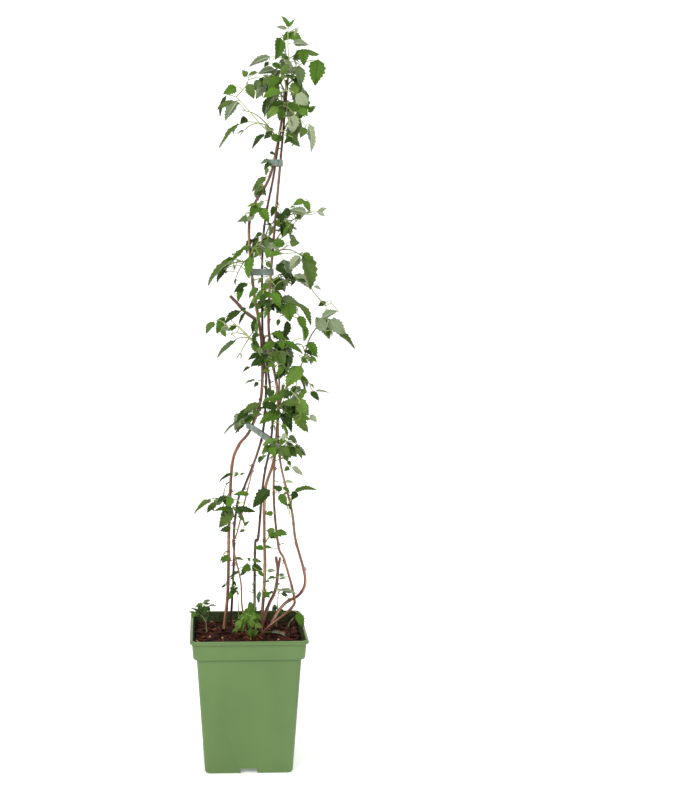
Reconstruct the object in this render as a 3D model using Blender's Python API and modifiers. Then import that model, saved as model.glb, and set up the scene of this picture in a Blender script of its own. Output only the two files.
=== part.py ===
"""A raspberry plant in a square nursery pot: thin canes tied in three places, with leafy side shoots.

Metres, +Z up. The origin is the middle of the pot's flat underside, and the front faces -Y.
"""

import math
import random

import bmesh
import bpy
import numpy as np
from mathutils import Matrix, Vector
from mathutils.bvhtree import BVHTree

MM = 0.001
UP = Vector((0, 0, 1))
GAP = 0.0003  # between neighbouring pieces

# The pot: half widths of its square outline from the base up, and the heights where it changes.
POT_HEIGHT = 0.213
BASE_HALF = 0.0675
BODY_TOP_HALF = 0.0795
BAND_BOTTOM_HALF = 0.0850
BAND_TOP_HALF = 0.0865
LIP_HALF = 0.0900
BAND_BOTTOM = 0.183
LIP_HEIGHT = 0.006
BASE_ROUNDING = 0.003
POT_WALL = 0.0018
CORNER_SHARE = 0.12  # corner radius as a share of the half width
CORNER_STEPS = 3

# The four drain notches at the foot of the walls, each closed inwards by a raised pocket in the floor.
NOTCH_WIDTH = 0.026
NOTCH_HEIGHT = 0.008
NOTCH_DEPTH = 0.024
DRAIN_RADIUS = 0.004

SOIL_TOP = 0.195

# Canes: points in millimetres from the soil up, diameters at foot and tip, and the heights where a bent
# cane is split.
CANES = {
    "left_cane": {
        "path": (
            (-36, 45, 195), (-30, 45, 259), (-28, 31, 372), (-24, 10, 463), (-14, 2, 497), (4, -1, 522),
            (21, -2, 575), (21, -2, 661), (9, -2, 738), (2, -2, 825), (10, -3, 865), (36, -5, 915),
            (56, -6, 1021), (57, -6, 1050),
        ),
        "diameters": (5.4, 4.0),
        "splits": (450, 835),
    },
    "back_cane": {
        "path": (
            (-25, 60, 195), (-20, 51, 306), (-20, 43, 356), (-13, 32, 410), (-3, 28, 431), (23, 10, 511),
            (29, 10, 598), (24, 10, 645), (24, 10, 811), (41, 7, 917), (56, 6, 1020),
        ),
        "diameters": (4.2, 3.4),
        "splits": (520,),
    },
    "main_cane": {
        "path": (
            (22, 18, 195), (28, 20, 293), (27, 20, 356), (28, 9, 427), (42, 1, 481), (47, -1, 571),
            (36, 2, 645), (34, 2, 737), (61, 1, 1058),
        ),
        "diameters": (5.4, 3.4),
        "splits": (),
    },
    "short_cane": {
        "path": (
            (12, 30, 195), (13, 30, 332), (18, 30, 348), (26, 26, 439), (37, 13, 503), (38, 14, 560),
            (25, 21, 668),
        ),
        "diameters": (4.6, 3.4),
        "splits": (),
    },
    "front_cane": {
        "path": (
            (20, -5, 195), (34, -10, 214), (68, -10, 243), (72, -10, 262), (57, -10, 319), (47, -10, 345),
            (40, -9, 438), (48, -10, 575), (47, -9, 612),
        ),
        "diameters": (4.4, 3.2),
        "splits": (252,),
    },
    "bowed_cane": {
        "path": (
            (33, 27, 195), (57, 22, 239), (83, 5, 262), (90, 0, 290), (75, 2, 349), (69, 4, 395),
            (50, 7, 480), (52, 12, 565), (82, 2, 620), (95, 0, 662), (111, 0, 687),
        ),
        "diameters": (5.4, 1.9),
        "splits": (276, 568),
    },
    "thin_cane": {
        "path": (
            (-1, -7, 195), (-9, -8, 248), (-11, -8, 286), (-23, 2, 343), (-16, 4, 361), (4, 8, 442),
            (14, 5, 482),
        ),
        "diameters": (2.9, 2.2),
        "splits": (),
    },
}
CANE_NODE_SUFFIXES = ("lower", "middle", "upper")
FLARE = 1.3  # how much thicker a cane's foot is
FLARE_HEIGHT = 0.016
CANE_SPACING = 0.030  # between the rings of a cane

# Cut-off stubs of old canes, in millimetres: the forked one in the soil, and a short one by the left cane.
STUB_PATHS = {
    "forked_stub": (
        (24, 40, 195), (28, 38, 215), (36, 35, 239), (45, 32, 260), (49, 30, 291), (46, 29, 316),
    ),
    "upper_stub": ((11, -4, 694), (-4, -6, 704), (-16, -8, 717), (-27, -10, 728)),
}
FORK_PATH = ((47, 31, 280), (50, 31, 296), (53, 33, 314))
STUB_DIAMETERS = (6.0, 4.8)

# Ties: middle height, how far the band drops for each metre along +X, and the canes that it holds.
TALL_CANES = ("left_cane", "back_cane", "main_cane")
TIES = {
    "lower_tie": (0.508, -0.70, (*TALL_CANES, "short_cane", "front_cane", "bowed_cane")),
    "middle_tie": (0.764, 0.0, TALL_CANES),
    "upper_tie": (0.928, 0.0, TALL_CANES),
}
TIE_HEIGHT = 0.010
TIE_THICKNESS = 0.0011
TIE_SLACK = 0.0009
TIE_SIDES = 8  # outline points round each cane

# Side shoots. Each starts on a cane at a height, or at a point in the soil, and has a twig to each tip.
# A tip is (x, y, z in millimetres, number of leaves, length of a leaf's end leaflet in millimetres).
SHOOTS = {
    "leader": ("main_cane", 1058, ((53, -2, 1143, 4, 23), (40, -14, 1080, 1, 30), (94, 6, 1094, 1, 30))),
    "top_right": ("main_cane", 1044, ((118, -14, 1046, 5, 40),)),
    "top_left": ("left_cane", 1034, ((-12, -10, 1062, 5, 33),)),
    "top_back": ("back_cane", 1014, ((58, 64, 1058, 4, 36), (24, 66, 1002, 3, 34))),
    "top_front": (
        "left_cane", 1004, ((34, -60, 1036, 4, 34), (80, -50, 990, 3, 36), (74, -24, 958, 1, 38)),
    ),
    "far_left": ("left_cane", 962, ((-42, 4, 1010, 6, 32), (-45, -14, 950, 4, 34))),
    "top_low_right": ("main_cane", 978, ((114, -10, 1000, 3, 30), (104, 20, 950, 2, 38))),
    "neck": ("left_cane", 892, ((8, -12, 906, 4, 20), (34, 40, 922, 2, 24), (0, 6, 872, 2, 26))),
    "upper_left": ("left_cane", 850, ((-28, -8, 846, 4, 25),)),
    "upper_right": ("main_cane", 808, ((120, -16, 858, 6, 27), (84, -24, 812, 3, 24))),
    "upper_back": ("back_cane", 806, ((66, 56, 846, 4, 34), (10, 58, 812, 3, 34))),
    "middle_left": (
        "left_cane", 776, ((-62, 2, 744, 5, 28), (-16, -14, 716, 2, 31), (-34, 30, 766, 2, 27)),
    ),
    "middle_front": (
        "left_cane", 790, ((46, -42, 804, 3, 28), (2, -44, 778, 3, 30), (24, -48, 732, 3, 34)),
    ),
    "middle_right": ("main_cane", 748, ((111, 4, 738, 4, 26), (68, 52, 756, 3, 34))),
    "right_pendant": ("main_cane", 792, ((102, -20, 738, 2, 50),)),
    "left_spray": (
        "left_cane", 648, ((-64, -6, 676, 6, 27), (-46, 10, 634, 2, 26), (-8, -12, 614, 2, 24)),
    ),
    "right_centre": ("main_cane", 706, ((104, -16, 676, 4, 38), (46, -46, 702, 3, 34))),
    "arm_tip": ("bowed_cane", 687, ((164, -4, 650, 5, 42),)),
    "arm_low": ("bowed_cane", 636, ((114, -18, 626, 3, 26), (60, -32, 644, 2, 28))),
    "centre_front": ("main_cane", 634, ((18, -46, 640, 3, 32), (82, -16, 624, 2, 34))),
    "centre_back": ("short_cane", 660, ((54, 66, 666, 4, 36),)),
    "low_right": ("front_cane", 606, ((124, -10, 566, 4, 30), (72, -34, 586, 2, 36))),
    "low_right_front": ("main_cane", 556, ((104, -22, 522, 4, 36),)),
    "low_left": ("left_cane", 548, ((-38, -8, 506, 5, 29), (-8, -14, 562, 2, 26))),
    "low_front": ("front_cane", 538, ((22, -50, 522, 3, 36),)),
    "low_back": ("back_cane", 540, ((40, 66, 546, 4, 36),)),
    "below_tie": ("front_cane", 484, ((88, -20, 484, 4, 28), (18, -36, 468, 2, 28))),
    "lower_right": (
        "bowed_cane", 404, ((106, -4, 424, 3, 30), (50, -20, 396, 1, 30), (84, 6, 450, 1, 22)),
    ),
    "lower_left": (
        "left_cane", 396, ((-84, 2, 394, 4, 32), (-44, -18, 368, 2, 36), (-20, -6, 440, 2, 22)),
    ),
    "lower_centre": ("main_cane", 412, ((4, -24, 384, 2, 38),)),
    "left_sprig": ("left_cane", 322, ((-56, 26, 306, 3, 20),)),
    "lower_sprig": ("main_cane", 340, ((60, -6, 354, 3, 20), (8, 56, 330, 3, 30))),
    "green_sucker": ((14, 2), SOIL_TOP / MM, ((6, -6, 318, 5, 28),)),
    "left_sucker": ((-12, 34), SOIL_TOP / MM, ((-16, 28, 292, 4, 26),)),
    "back_sucker": ((48, 52), SOIL_TOP / MM, ((54, 50, 292, 4, 28),)),
    "edge_sprig": ((-64, 24), SOIL_TOP / MM, ((-68, 22, 246, 4, 22),)),
    "front_sprig": ((4, -24), SOIL_TOP / MM, ((6, -32, 252, 5, 28),)),
    "corner_sprig": ((66, 36), SOIL_TOP / MM, ((76, 24, 238, 2, 32),)),
}
# How far the leaves reach, in millimetres: a height, and the plant's left and right edge there.
REACH = (
    (190, -90, 92), (248, -87, 86), (267, -77, 79), (318, -49, 60), (365, -52, 70), (394, -86, 85),
    (428, -67, 110), (447, -49, 88), (480, -25, 88), (497, 0, 94), (519, -41, 100), (556, -18, 109),
    (581, -6, 127), (605, -8, 96), (627, -48, 118), (645, -60, 166), (703, -63, 151), (725, -37, 92),
    (740, -65, 114), (767, -60, 111), (794, -26, 105), (819, -14, 88), (840, -26, 117), (861, -24, 121),
    (882, 1, 89), (906, -2, 65), (937, 10, 67), (950, -46, 104), (1021, -46, 106), (1045, -35, 118),
    (1071, -14, 124), (1086, 15, 116), (1107, 29, 97), (1147, 37, 80),
)
REACH_SLACK = 4
STEM_RADIUS = 0.0018
TWIG_RADIUS = 0.0016
TIP_RADIUS = 0.0013
TWIG_SIDES = 3
STEM_STEPS = 3
ARCH = 0.22  # how far a stem bows upwards, as a share of its run
SHORTEST_STEM = 0.30  # the least share of its run that a stem keeps, as it stops short for its last leaf
STEEP = math.radians(55)  # a twig that rises more than this has its leaves all round it
END_STALK_SHARE = 0.5
END_DROOP = (35, 95)
FIRST_LEAF = 0.24  # where the lowest leaf sits along a twig
TRIES = 6  # places tried for a leaf before it is left out
STALK_WIDTH = 0.0010
SIDE_LEAFLET_SHARE = 0.76
SIDE_LEAFLET_AT = 0.62  # the side leaflets grow from the stretch between here and the stalk's end
LEAF_WIDTH_SHARE = 0.62
LEAF_WIDEST = 0.44
SIDE_YAW = (68, 90)
END_YAW = (-8, 8)
LEAF_THICKNESS = 0.0009
TEST_MARGIN = 0.0008  # a leaf is tested this much larger than it is

SLOTS = {
    "pot_plastic": ((0.13, 0.27, 0.09), 0.45),
    "potting_soil": ((0.07, 0.025, 0.015), 0.95),
    "cane_bark": ((0.30, 0.13, 0.08), 0.65),
    "cut_wood": ((0.42, 0.26, 0.16), 0.80),
    "tie_plastic": ((0.17, 0.23, 0.20), 0.40),
    "foliage": ((0.08, 0.22, 0.04), 0.55),
}


def clear_scene():
    for obj in list(bpy.data.objects):
        bpy.data.objects.remove(obj, do_unlink=True)


def new_collection(name):
    collection = bpy.data.collections.new(name)
    bpy.context.scene.collection.children.link(collection)
    return collection


def new_material(name):
    colour, roughness = SLOTS[name]
    material = bpy.data.materials.new(name)
    material.use_nodes = True
    shader = material.node_tree.nodes["Principled BSDF"]
    shader.inputs["Base Color"].default_value = (*colour, 1)
    shader.inputs["Roughness"].default_value = roughness
    shader.inputs["Metallic"].default_value = 0
    return material


def mesh_object(name, bm, collection, material=None):
    """Turns a bmesh into an object, with its faces pointing out."""
    bmesh.ops.recalc_face_normals(bm, faces=bm.faces)
    mesh = bpy.data.meshes.new(name)
    bm.to_mesh(mesh)
    bm.free()
    obj = bpy.data.objects.new(name, mesh)
    collection.objects.link(obj)
    if material:
        mesh.materials.append(material)
    return obj


def smooth_path(points, spacing):
    """Points about `spacing` apart on a curve through `points`."""
    points = [Vector(p) for p in points]
    padded = [points[0] * 2 - points[1], *points, points[-1] * 2 - points[-2]]
    path = [points[0]]
    for before, start, end, after in zip(padded, padded[1:], padded[2:], padded[3:]):
        steps = max(1, round((end - start).length / spacing))
        for step in range(1, steps + 1):
            t = step / steps
            path.append(
                0.5 * (
                    2 * start
                    + (end - before) * t
                    + (2 * before - 5 * start + 4 * end - after) * t * t
                    + (3 * start - before - 3 * end + after) * t * t * t
                )
            )
    return path


def cane_line(name):
    """The points of a whole cane and its radius at each, from a flat foot on the soil to the tip."""
    spec = CANES[name]
    points = [Vector(p) * MM for p in spec["path"]]
    foot = points[0] + UP * GAP
    path = [foot, *smooth_path([foot + UP * 0.003, *points[1:]], CANE_SPACING)]
    thick, thin = (d / 2 * MM for d in spec["diameters"])
    low, high = path[0].z, path[-1].z
    radii = []
    for p in path:
        share = (p.z - low) / (high - low)
        flare = (FLARE - 1) * max(0, 1 - (p.z - low) / FLARE_HEIGHT) ** 2
        radii.append((thick + (thin - thick) * share) * (1 + flare))
    return path, radii


def at_height(path, values, height):
    """The point and the value where a rising path passes a height."""
    for a, b, value_a, value_b in zip(path, path[1:], values, values[1:]):
        if a.z <= height <= b.z:
            t = (height - a.z) / (b.z - a.z)
            return a.lerp(b, t), value_a + (value_b - value_a) * t
    return path[-1].copy(), values[-1]


def split_line(path, radii, heights):
    """Cuts a cane's line in the stretches at these heights, with a gap between the pieces."""
    pieces = []
    now, now_radii = [path[0]], [radii[0]]
    waiting = sorted(heights)
    for a, b, radius_a, radius_b in zip(path, path[1:], radii, radii[1:]):
        if waiting and a.z <= waiting[0] <= b.z:
            waiting.pop(0)
            middle, radius = (a + b) / 2, (radius_a + radius_b) / 2
            half_gap = (b - a).normalized() * GAP / 2
            pieces.append((now + [middle - half_gap], now_radii + [radius]))
            now, now_radii = [middle + half_gap], [radius]
        now.append(b)
        now_radii.append(radius_b)
    pieces.append((now, now_radii))
    return pieces


def make_profile(sides, collection):
    """A flat ring of unit radius, which a tube's curve is bevelled with."""
    curve = bpy.data.curves.new(f"profile_{sides}", "CURVE")
    curve.dimensions = "2D"
    spline = curve.splines.new("POLY")
    spline.points.add(sides - 1)
    spline.use_cyclic_u = True
    for i, point in enumerate(spline.points):
        turn = 2 * math.pi * i / sides
        point.co = (math.cos(turn), math.sin(turn), 0, 1)
    obj = bpy.data.objects.new(curve.name, curve)
    obj.hide_render = True
    obj.display_type = "WIRE"
    collection.objects.link(obj)
    return obj


def tube(name, path, radii, profile, collection, material=None):
    """A closed tapering tube along a path: a curve with the profile's bevel, its caps welded."""
    curve = bpy.data.curves.new(name, "CURVE")
    curve.dimensions = "3D"
    curve.twist_mode = "MINIMUM"
    curve.bevel_mode = "OBJECT"
    curve.bevel_object = profile
    curve.use_fill_caps = True
    spline = curve.splines.new("POLY")
    spline.points.add(len(path) - 1)
    for point, place, radius in zip(spline.points, path, radii):
        point.co = (*place, 1)
        point.radius = radius
    guide = bpy.data.objects.new(name, curve)
    collection.objects.link(guide)
    graph = bpy.context.evaluated_depsgraph_get()
    mesh = bpy.data.meshes.new_from_object(guide.evaluated_get(graph))
    bm = bmesh.new()
    bm.from_mesh(mesh)
    bmesh.ops.remove_doubles(bm, verts=bm.verts, dist=1e-6)
    bpy.data.meshes.remove(mesh)
    bpy.data.objects.remove(guide, do_unlink=True)
    bpy.data.curves.remove(curve)
    return mesh_object(name, bm, collection, material)


def tree_of(obj):
    """A search tree of an object's triangles, for telling what touches it."""
    bm = bmesh.new()
    bm.from_mesh(obj.data)
    tree = BVHTree.FromBMesh(bm)
    bm.free()
    return tree


def square_ring(half, height):
    """The points of a square outline with round corners."""
    corner = half * CORNER_SHARE
    ring = []
    for quarter in range(4):
        middle = math.pi / 4 + quarter * math.pi / 2
        centre = Vector((math.cos(middle), math.sin(middle), 0)) * (half - corner) * math.sqrt(2)
        for step in range(CORNER_STEPS + 1):
            turn = middle - math.pi / 4 + step * math.pi / 2 / CORNER_STEPS
            ring.append(centre + Vector((math.cos(turn), math.sin(turn), 0)) * corner + UP * height)
    return ring


def loft(rings):
    """A closed bmesh through rings of as many points each, with a flat face at both ends."""
    bm = bmesh.new()
    rows = [[bm.verts.new(p) for p in ring] for ring in rings]
    for low, high in zip(rows, rows[1:]):
        for i in range(len(low)):
            j = (i + 1) % len(low)
            bm.faces.new((low[i], low[j], high[j], high[i]))
    bm.faces.new(rows[0])
    bm.faces.new(rows[-1])
    return bm


def outer_half(height):
    """The pot body's outer half width at a height, below the band."""
    return BASE_HALF + (BODY_TOP_HALF - BASE_HALF) * height / BAND_BOTTOM


def box(name, low, high, collection):
    bm = bmesh.new()
    bmesh.ops.create_cube(bm, size=1)
    for vert in bm.verts:
        vert.co = Vector(
            tuple(a + (b - a) * (c + 0.5) for a, b, c in zip(low, high, vert.co))
        )
    return mesh_object(name, bm, collection)


def boolean(obj, operation, other):
    modifier = obj.modifiers.new(f"{operation.lower()}_{other.name}", "BOOLEAN")
    modifier.operation = operation
    modifier.object = other


def notch_boxes(grow, cutters, name):
    """The four drain notches as boxes, each side grown by some amount."""
    half = NOTCH_WIDTH / 2 + grow
    near = BASE_HALF - NOTCH_DEPTH - grow
    far = BASE_HALF + NOTCH_DEPTH / 2
    boxes = []
    for quarter in range(4):
        obj = box(f"{name}_{quarter}", (near, -half, -0.01), (far, half, NOTCH_HEIGHT + grow), cutters)
        obj.data.transform(Matrix.Rotation(quarter * math.pi / 2, 4, "Z"))
        hide(obj)
        boxes.append(obj)
    return boxes


def hide(obj):
    obj.hide_render = True
    obj.display_type = "WIRE"


def make_pot(parts, cutters, material):
    """The thin moulded pot: tapering body, wider band below the lip, drain notches and holes."""
    wall = POT_WALL
    step = BAND_BOTTOM - 0.002
    outside = [
        square_ring(BASE_HALF - BASE_ROUNDING / 2, 0),
        square_ring(outer_half(BASE_ROUNDING), BASE_ROUNDING),
        square_ring(BODY_TOP_HALF, step),
        square_ring(BAND_BOTTOM_HALF - 0.001, BAND_BOTTOM),
        square_ring(BAND_BOTTOM_HALF, BAND_BOTTOM + 0.002),
        square_ring(BAND_TOP_HALF, POT_HEIGHT - LIP_HEIGHT),
        square_ring(LIP_HALF, POT_HEIGHT - LIP_HEIGHT + 0.001),
        square_ring(LIP_HALF - 0.001, POT_HEIGHT),
    ]
    inside = [
        square_ring(BAND_TOP_HALF - wall, POT_HEIGHT),
        square_ring(BAND_BOTTOM_HALF - wall, BAND_BOTTOM + 0.003),
        square_ring(BODY_TOP_HALF - wall, step),
        square_ring(BASE_HALF - wall, wall + BASE_ROUNDING),
        square_ring(BASE_HALF - wall - BASE_ROUNDING, wall),
    ]
    pot = mesh_object("pot", loft(outside + inside), parts, material)

    floor_blocks = new_collection("floor_blocks")
    inner = square_ring(BASE_HALF - wall / 2, 0)[0].x
    for number, pocket in enumerate(notch_boxes(wall, floor_blocks, "pocket")):
        trim = box(f"pocket_trim_{number}", (-inner, -inner, wall / 2), (inner, inner, 0.05), cutters)
        hide(trim)
        boolean(pocket, "INTERSECT", trim)
        boolean(pot, "UNION", pocket)
    for notch in notch_boxes(0, cutters, "notch"):
        boolean(pot, "DIFFERENCE", notch)
    for quarter in range(4):
        bm = bmesh.new()
        bmesh.ops.create_cone(
            bm, cap_ends=True, segments=10, radius1=DRAIN_RADIUS, radius2=DRAIN_RADIUS, depth=0.02
        )
        bmesh.ops.translate(bm, verts=bm.verts, vec=(BASE_HALF - NOTCH_DEPTH * 0.55, 0, NOTCH_HEIGHT))
        bmesh.ops.rotate(bm, verts=bm.verts, matrix=Matrix.Rotation(quarter * math.pi / 2, 3, "Z"))
        drill = mesh_object(f"drain_{quarter}", bm, cutters)
        hide(drill)
        boolean(pot, "DIFFERENCE", drill)
    return pot


def make_soil(parts, cutters, material):
    """The block of potting soil, a little clear of the pot's inside, cut away over the floor's pockets."""
    inset = POT_WALL + GAP * 1.6
    floor = POT_WALL + GAP
    rings = [
        square_ring(BASE_HALF - inset - BASE_ROUNDING, floor),
        square_ring(BASE_HALF - inset, floor + BASE_ROUNDING),
        square_ring(BODY_TOP_HALF - inset, BAND_BOTTOM - 0.002),
        square_ring(BAND_BOTTOM_HALF - inset - 0.0004, BAND_BOTTOM + 0.0034),
        square_ring(BAND_BOTTOM_HALF - inset, SOIL_TOP),
    ]
    soil = mesh_object("soil", loft(rings), parts, material)
    for pocket in notch_boxes(POT_WALL + GAP, cutters, "soil_pocket"):
        boolean(soil, "DIFFERENCE", pocket)
    return soil


def make_canes(parts, profile, material):
    """Every cane, split at its bends. Returns each whole cane's points and radii, for what grows on it."""
    lines = {}
    for name, spec in CANES.items():
        path, radii = lines[name] = cane_line(name)
        pieces = split_line(path, radii, [height * MM for height in spec["splits"]])
        for suffix, (piece, piece_radii) in zip(CANE_NODE_SUFFIXES, pieces):
            last = piece is pieces[-1][0]
            node = name if len(pieces) == 1 else f"{name}_{'upper' if last else suffix}"
            tube(node, piece, piece_radii, profile, parts, material)
    return lines


def make_stubs(parts, cutters, profile, material):
    thick, thin = (d / 2 * MM for d in STUB_DIAMETERS)
    for name, points in STUB_PATHS.items():
        path = smooth_path([Vector(p) * MM for p in points], CANE_SPACING)
        if name == "forked_stub":
            foot = path[0] + UP * GAP
            path = [foot, foot + UP * 0.003, *path[1:]]
        radii = [thick + (thin - thick) * i / (len(path) - 1) for i in range(len(path))]
        stub = tube(name, path, radii, profile, parts, material)
        if name == "forked_stub":
            fork = [Vector(p) * MM for p in FORK_PATH]
            prong = tube("prong", fork, [thin * 0.9] * len(fork), profile, cutters)
            hide(prong)
            boolean(stub, "UNION", prong)


def hull_outline(points):
    """The convex outline of points seen from above, anticlockwise."""
    points = sorted({(round(p.x, 6), round(p.y, 6)) for p in points})

    def half(points):
        chain = []
        for p in points:
            while len(chain) > 1:
                (ax, ay), (bx, by) = chain[-2:]
                if (bx - ax) * (p[1] - ay) - (by - ay) * (p[0] - ax) > 0:
                    break
                chain.pop()
            chain.append(p)
        return chain[:-1]

    return half(points) + half(points[::-1])


def make_tie(name, lines, parts, material):
    """A band of plastic round the canes: the hull of their outlines as a wall, given its thickness."""
    height, slope, held = TIES[name]
    middle = sum((at_height(*lines[c], height)[0].x for c in held)) / len(held)
    outline = []
    for cane in held:
        place, radius = at_height(*lines[cane], height)
        for _ in range(3):  # the band slopes, so each cane passes it at a height of its own
            place, radius = at_height(*lines[cane], height + slope * (place.x - middle))
        for end in (-TIE_HEIGHT / 2, TIE_HEIGHT / 2):
            place_there, _ = at_height(*lines[cane], place.z + end)
            for i in range(TIE_SIDES):
                turn = 2 * math.pi * i / TIE_SIDES
                reach = radius + TIE_SLACK
                outline.append(place_there + Vector((math.cos(turn), math.sin(turn), 0)) * reach)
    bm = bmesh.new()
    ring = hull_outline(outline)
    rows = [
        [bm.verts.new((x, y, height + slope * (x - middle) + end)) for x, y in ring]
        for end in (-TIE_HEIGHT / 2, TIE_HEIGHT / 2)
    ]
    for i in range(len(ring)):
        j = (i + 1) % len(ring)
        bm.faces.new((rows[0][i], rows[0][j], rows[1][j], rows[1][i]))
    band = mesh_object(name, bm, parts, material)
    wall = band.modifiers.new("thickness", "SOLIDIFY")
    wall.thickness = TIE_THICKNESS
    wall.offset = 1
    return band


def direction(azimuth, elevation):
    level = math.cos(elevation)
    return Vector((math.cos(azimuth) * level, math.sin(azimuth) * level, math.sin(elevation)))


def along(line, share):
    """The point at a share of a line's length, and its direction there."""
    place = share * (len(line) - 1)
    index = min(int(place), len(line) - 2)
    a, b = line[index], line[index + 1]
    return a.lerp(b, place - index), (b - a).normalized()


def leaf_frame(root, axis, roll):
    """A leaflet's own space: X along its midrib and Z out of its upper face."""
    side = UP.cross(axis)
    if side.length < 1e-3:
        side = Vector((1, 0, 0))
    side.normalize()
    side = Matrix.Rotation(roll, 3, axis) @ side
    normal = axis.cross(side).normalized()
    frame = Matrix((axis, side, normal)).transposed().to_4x4()
    frame.translation = root
    return frame


def square(bm, frame, ahead, lift, width, thickness):
    """Four corners across a leaflet or a stalk, in its own space."""
    corners = ((1, 1), (-1, 1), (-1, -1), (1, -1))
    places = [Vector((ahead, y * width / 2, lift + z * thickness / 2)) for y, z in corners]
    return [bm.verts.new(frame @ place) for place in places]


def bridge(bm, low, high):
    """Side faces between two rings, turned so that they twist as little as they can."""
    count = len(low)
    turns = [high[k:] + high[:k] for k in range(count)]
    high = min(turns, key=lambda turned: sum((a.co - b.co).length for a, b in zip(low, turned)))
    faces = []
    for i in range(count):
        j = (i + 1) % count
        faces.append(bm.faces.new((low[i], low[j], high[j], high[i])))
    return faces


def add_leaflet(bm, root, frame, length, width, margin=0):
    """A thin pointed blade that grows out of four corners and bends down past its widest place."""
    ahead = LEAF_WIDEST * length
    widest = square(bm, frame, ahead, 0.05 * length, width + 2 * margin, LEAF_THICKNESS + 2 * margin)
    bridge(bm, root, widest)
    point = bm.verts.new(frame @ Vector((length + margin, 0, -0.10 * length)))
    for i in range(4):
        bm.faces.new((widest[i], widest[(i + 1) % 4], point))


def tested_leaflet(frame, length, width):
    """A leaflet on its own, a little larger than it is made, for testing what it would touch."""
    bm = bmesh.new()
    root = square(bm, frame, 0, 0, 0.3 * length, STALK_WIDTH)
    bm.faces.new(root)
    add_leaflet(bm, root, frame, length, width, TEST_MARGIN)
    return BVHTree.FromBMesh(bm)


def tested_stalk(line, width):
    """A plain square tube round a line, for the same test."""
    bm = bmesh.new()
    rings = []
    for index, place in enumerate(line):
        before, after = line[max(0, index - 1)], line[min(len(line) - 1, index + 1)]
        frame = leaf_frame(place, (after - before).normalized(), 0)
        rings.append(square(bm, frame, 0, 0, width + 2 * TEST_MARGIN, width + 2 * TEST_MARGIN))
    for low, high in zip(rings, rings[1:]):
        bridge(bm, low, high)
    return BVHTree.FromBMesh(bm)


def touches(tree, others):
    return any(tree.overlap(other) for other in others)


def within_reach(frame, length):
    """Whether a leaflet's point lies inside the plant's edges at its own height."""
    point = frame @ Vector((length, 0, -0.1 * length)) / MM
    for (low, left_low, right_low), (high, left_high, right_high) in zip(REACH, REACH[1:]):
        if low <= point.z <= high:
            share = (point.z - low) / (high - low)
            left = left_low + (left_high - left_low) * share
            right = right_low + (right_high - right_low) * share
            return left - REACH_SLACK <= point.x <= right + REACH_SLACK
    return False


def windings(triangles, points):
    """How many times a closed surface goes round each point."""
    corners = triangles[None] - points[:, None, None]
    a, b, c = (corners[:, :, k] for k in range(3))
    la, lb, lc = (np.linalg.norm(corner, axis=2) for corner in (a, b, c))
    top = (a * np.cross(b, c)).sum(2)
    low = la * lb * lc + (a * b).sum(2) * lc + (b * c).sum(2) * la + (c * a).sum(2) * lb
    return np.arctan2(top, low).sum(1) / (2 * math.pi)


def overlaps_itself(bm):
    """Whether a closed bmesh passes through itself: a point just under some face isn't inside it once."""
    whole = bm.copy()
    bmesh.ops.recalc_face_normals(whole, faces=whole.faces)
    bmesh.ops.triangulate(whole, faces=whole.faces)
    triangles = np.array([[vert.co[:] for vert in face.verts] for face in whole.faces])
    normals = np.array([face.normal[:] for face in whole.faces])
    whole.free()
    under = windings(triangles, triangles.mean(axis=1) - normals * 1e-6)
    over = windings(triangles, triangles.mean(axis=1) + normals * 1e-6)
    return np.abs(under - 1).max() > 0.1 or np.abs(over).max() > 0.1


def leaf_bmesh(root, end, leaflets):
    """A whole leaf as one closed surface: a square stalk, the end leaflet and the side leaflets."""
    frame = leaf_frame(root, (end - root).normalized(), 0)
    stalk = (end - root).length
    bm = bmesh.new()
    shares = (0, SIDE_LEAFLET_AT, 1)
    rings = [square(bm, frame, share * stalk, 0, STALK_WIDTH, STALK_WIDTH) for share in shares]
    bm.faces.new(rings[0])
    for low, high in zip(rings, rings[1:]):
        sides = bridge(bm, low, high)
        if low is rings[1]:
            for side, leaflet in leaflets.items():
                if side != 0:
                    outward = frame.col[1].xyz * side
                    face = max(sides, key=lambda f: (f.calc_center_median() - root).dot(outward))
                    corners = list(face.verts)
                    bm.faces.remove(face)
                    sides.remove(face)
                    add_leaflet(bm, corners, *leaflet)
    add_leaflet(bm, rings[-1], *leaflets[0])
    return bm


def end_pose(mass, twig, span):
    """The bearing and rise of the stalk of a twig's last leaf, and how far its end leaflet droops."""
    rise = math.asin(span.z / span.length)
    droop = math.radians(random.Random(f"{mass} {twig} end").uniform(*END_DROOP))
    if rise > STEEP:
        droop = 0
    return math.atan2(span.y, span.x), rise + droop * 0.4, droop


def stem_line(mass, twig, start, tip, size):
    """A stem's points: a curve that bows upwards, to where its last leaf just reaches the tip."""
    span = tip - start
    bearing, rise, droop = end_pose(mass, twig, span)
    end = tip - direction(bearing, rise - droop) * size
    end -= direction(bearing, rise) * size * END_STALK_SHARE
    if (end - start).dot(span) < SHORTEST_STEM * span.length_squared:
        end = start + span * SHORTEST_STEM
    control = (start + end) / 2 + UP * ARCH * math.hypot(span.x, span.y)
    line = []
    for step in range(STEM_STEPS + 1):
        t = step / STEM_STEPS
        line.append(start * (1 - t) ** 2 + control * 2 * t * (1 - t) + end * t * t)
    return line


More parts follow.
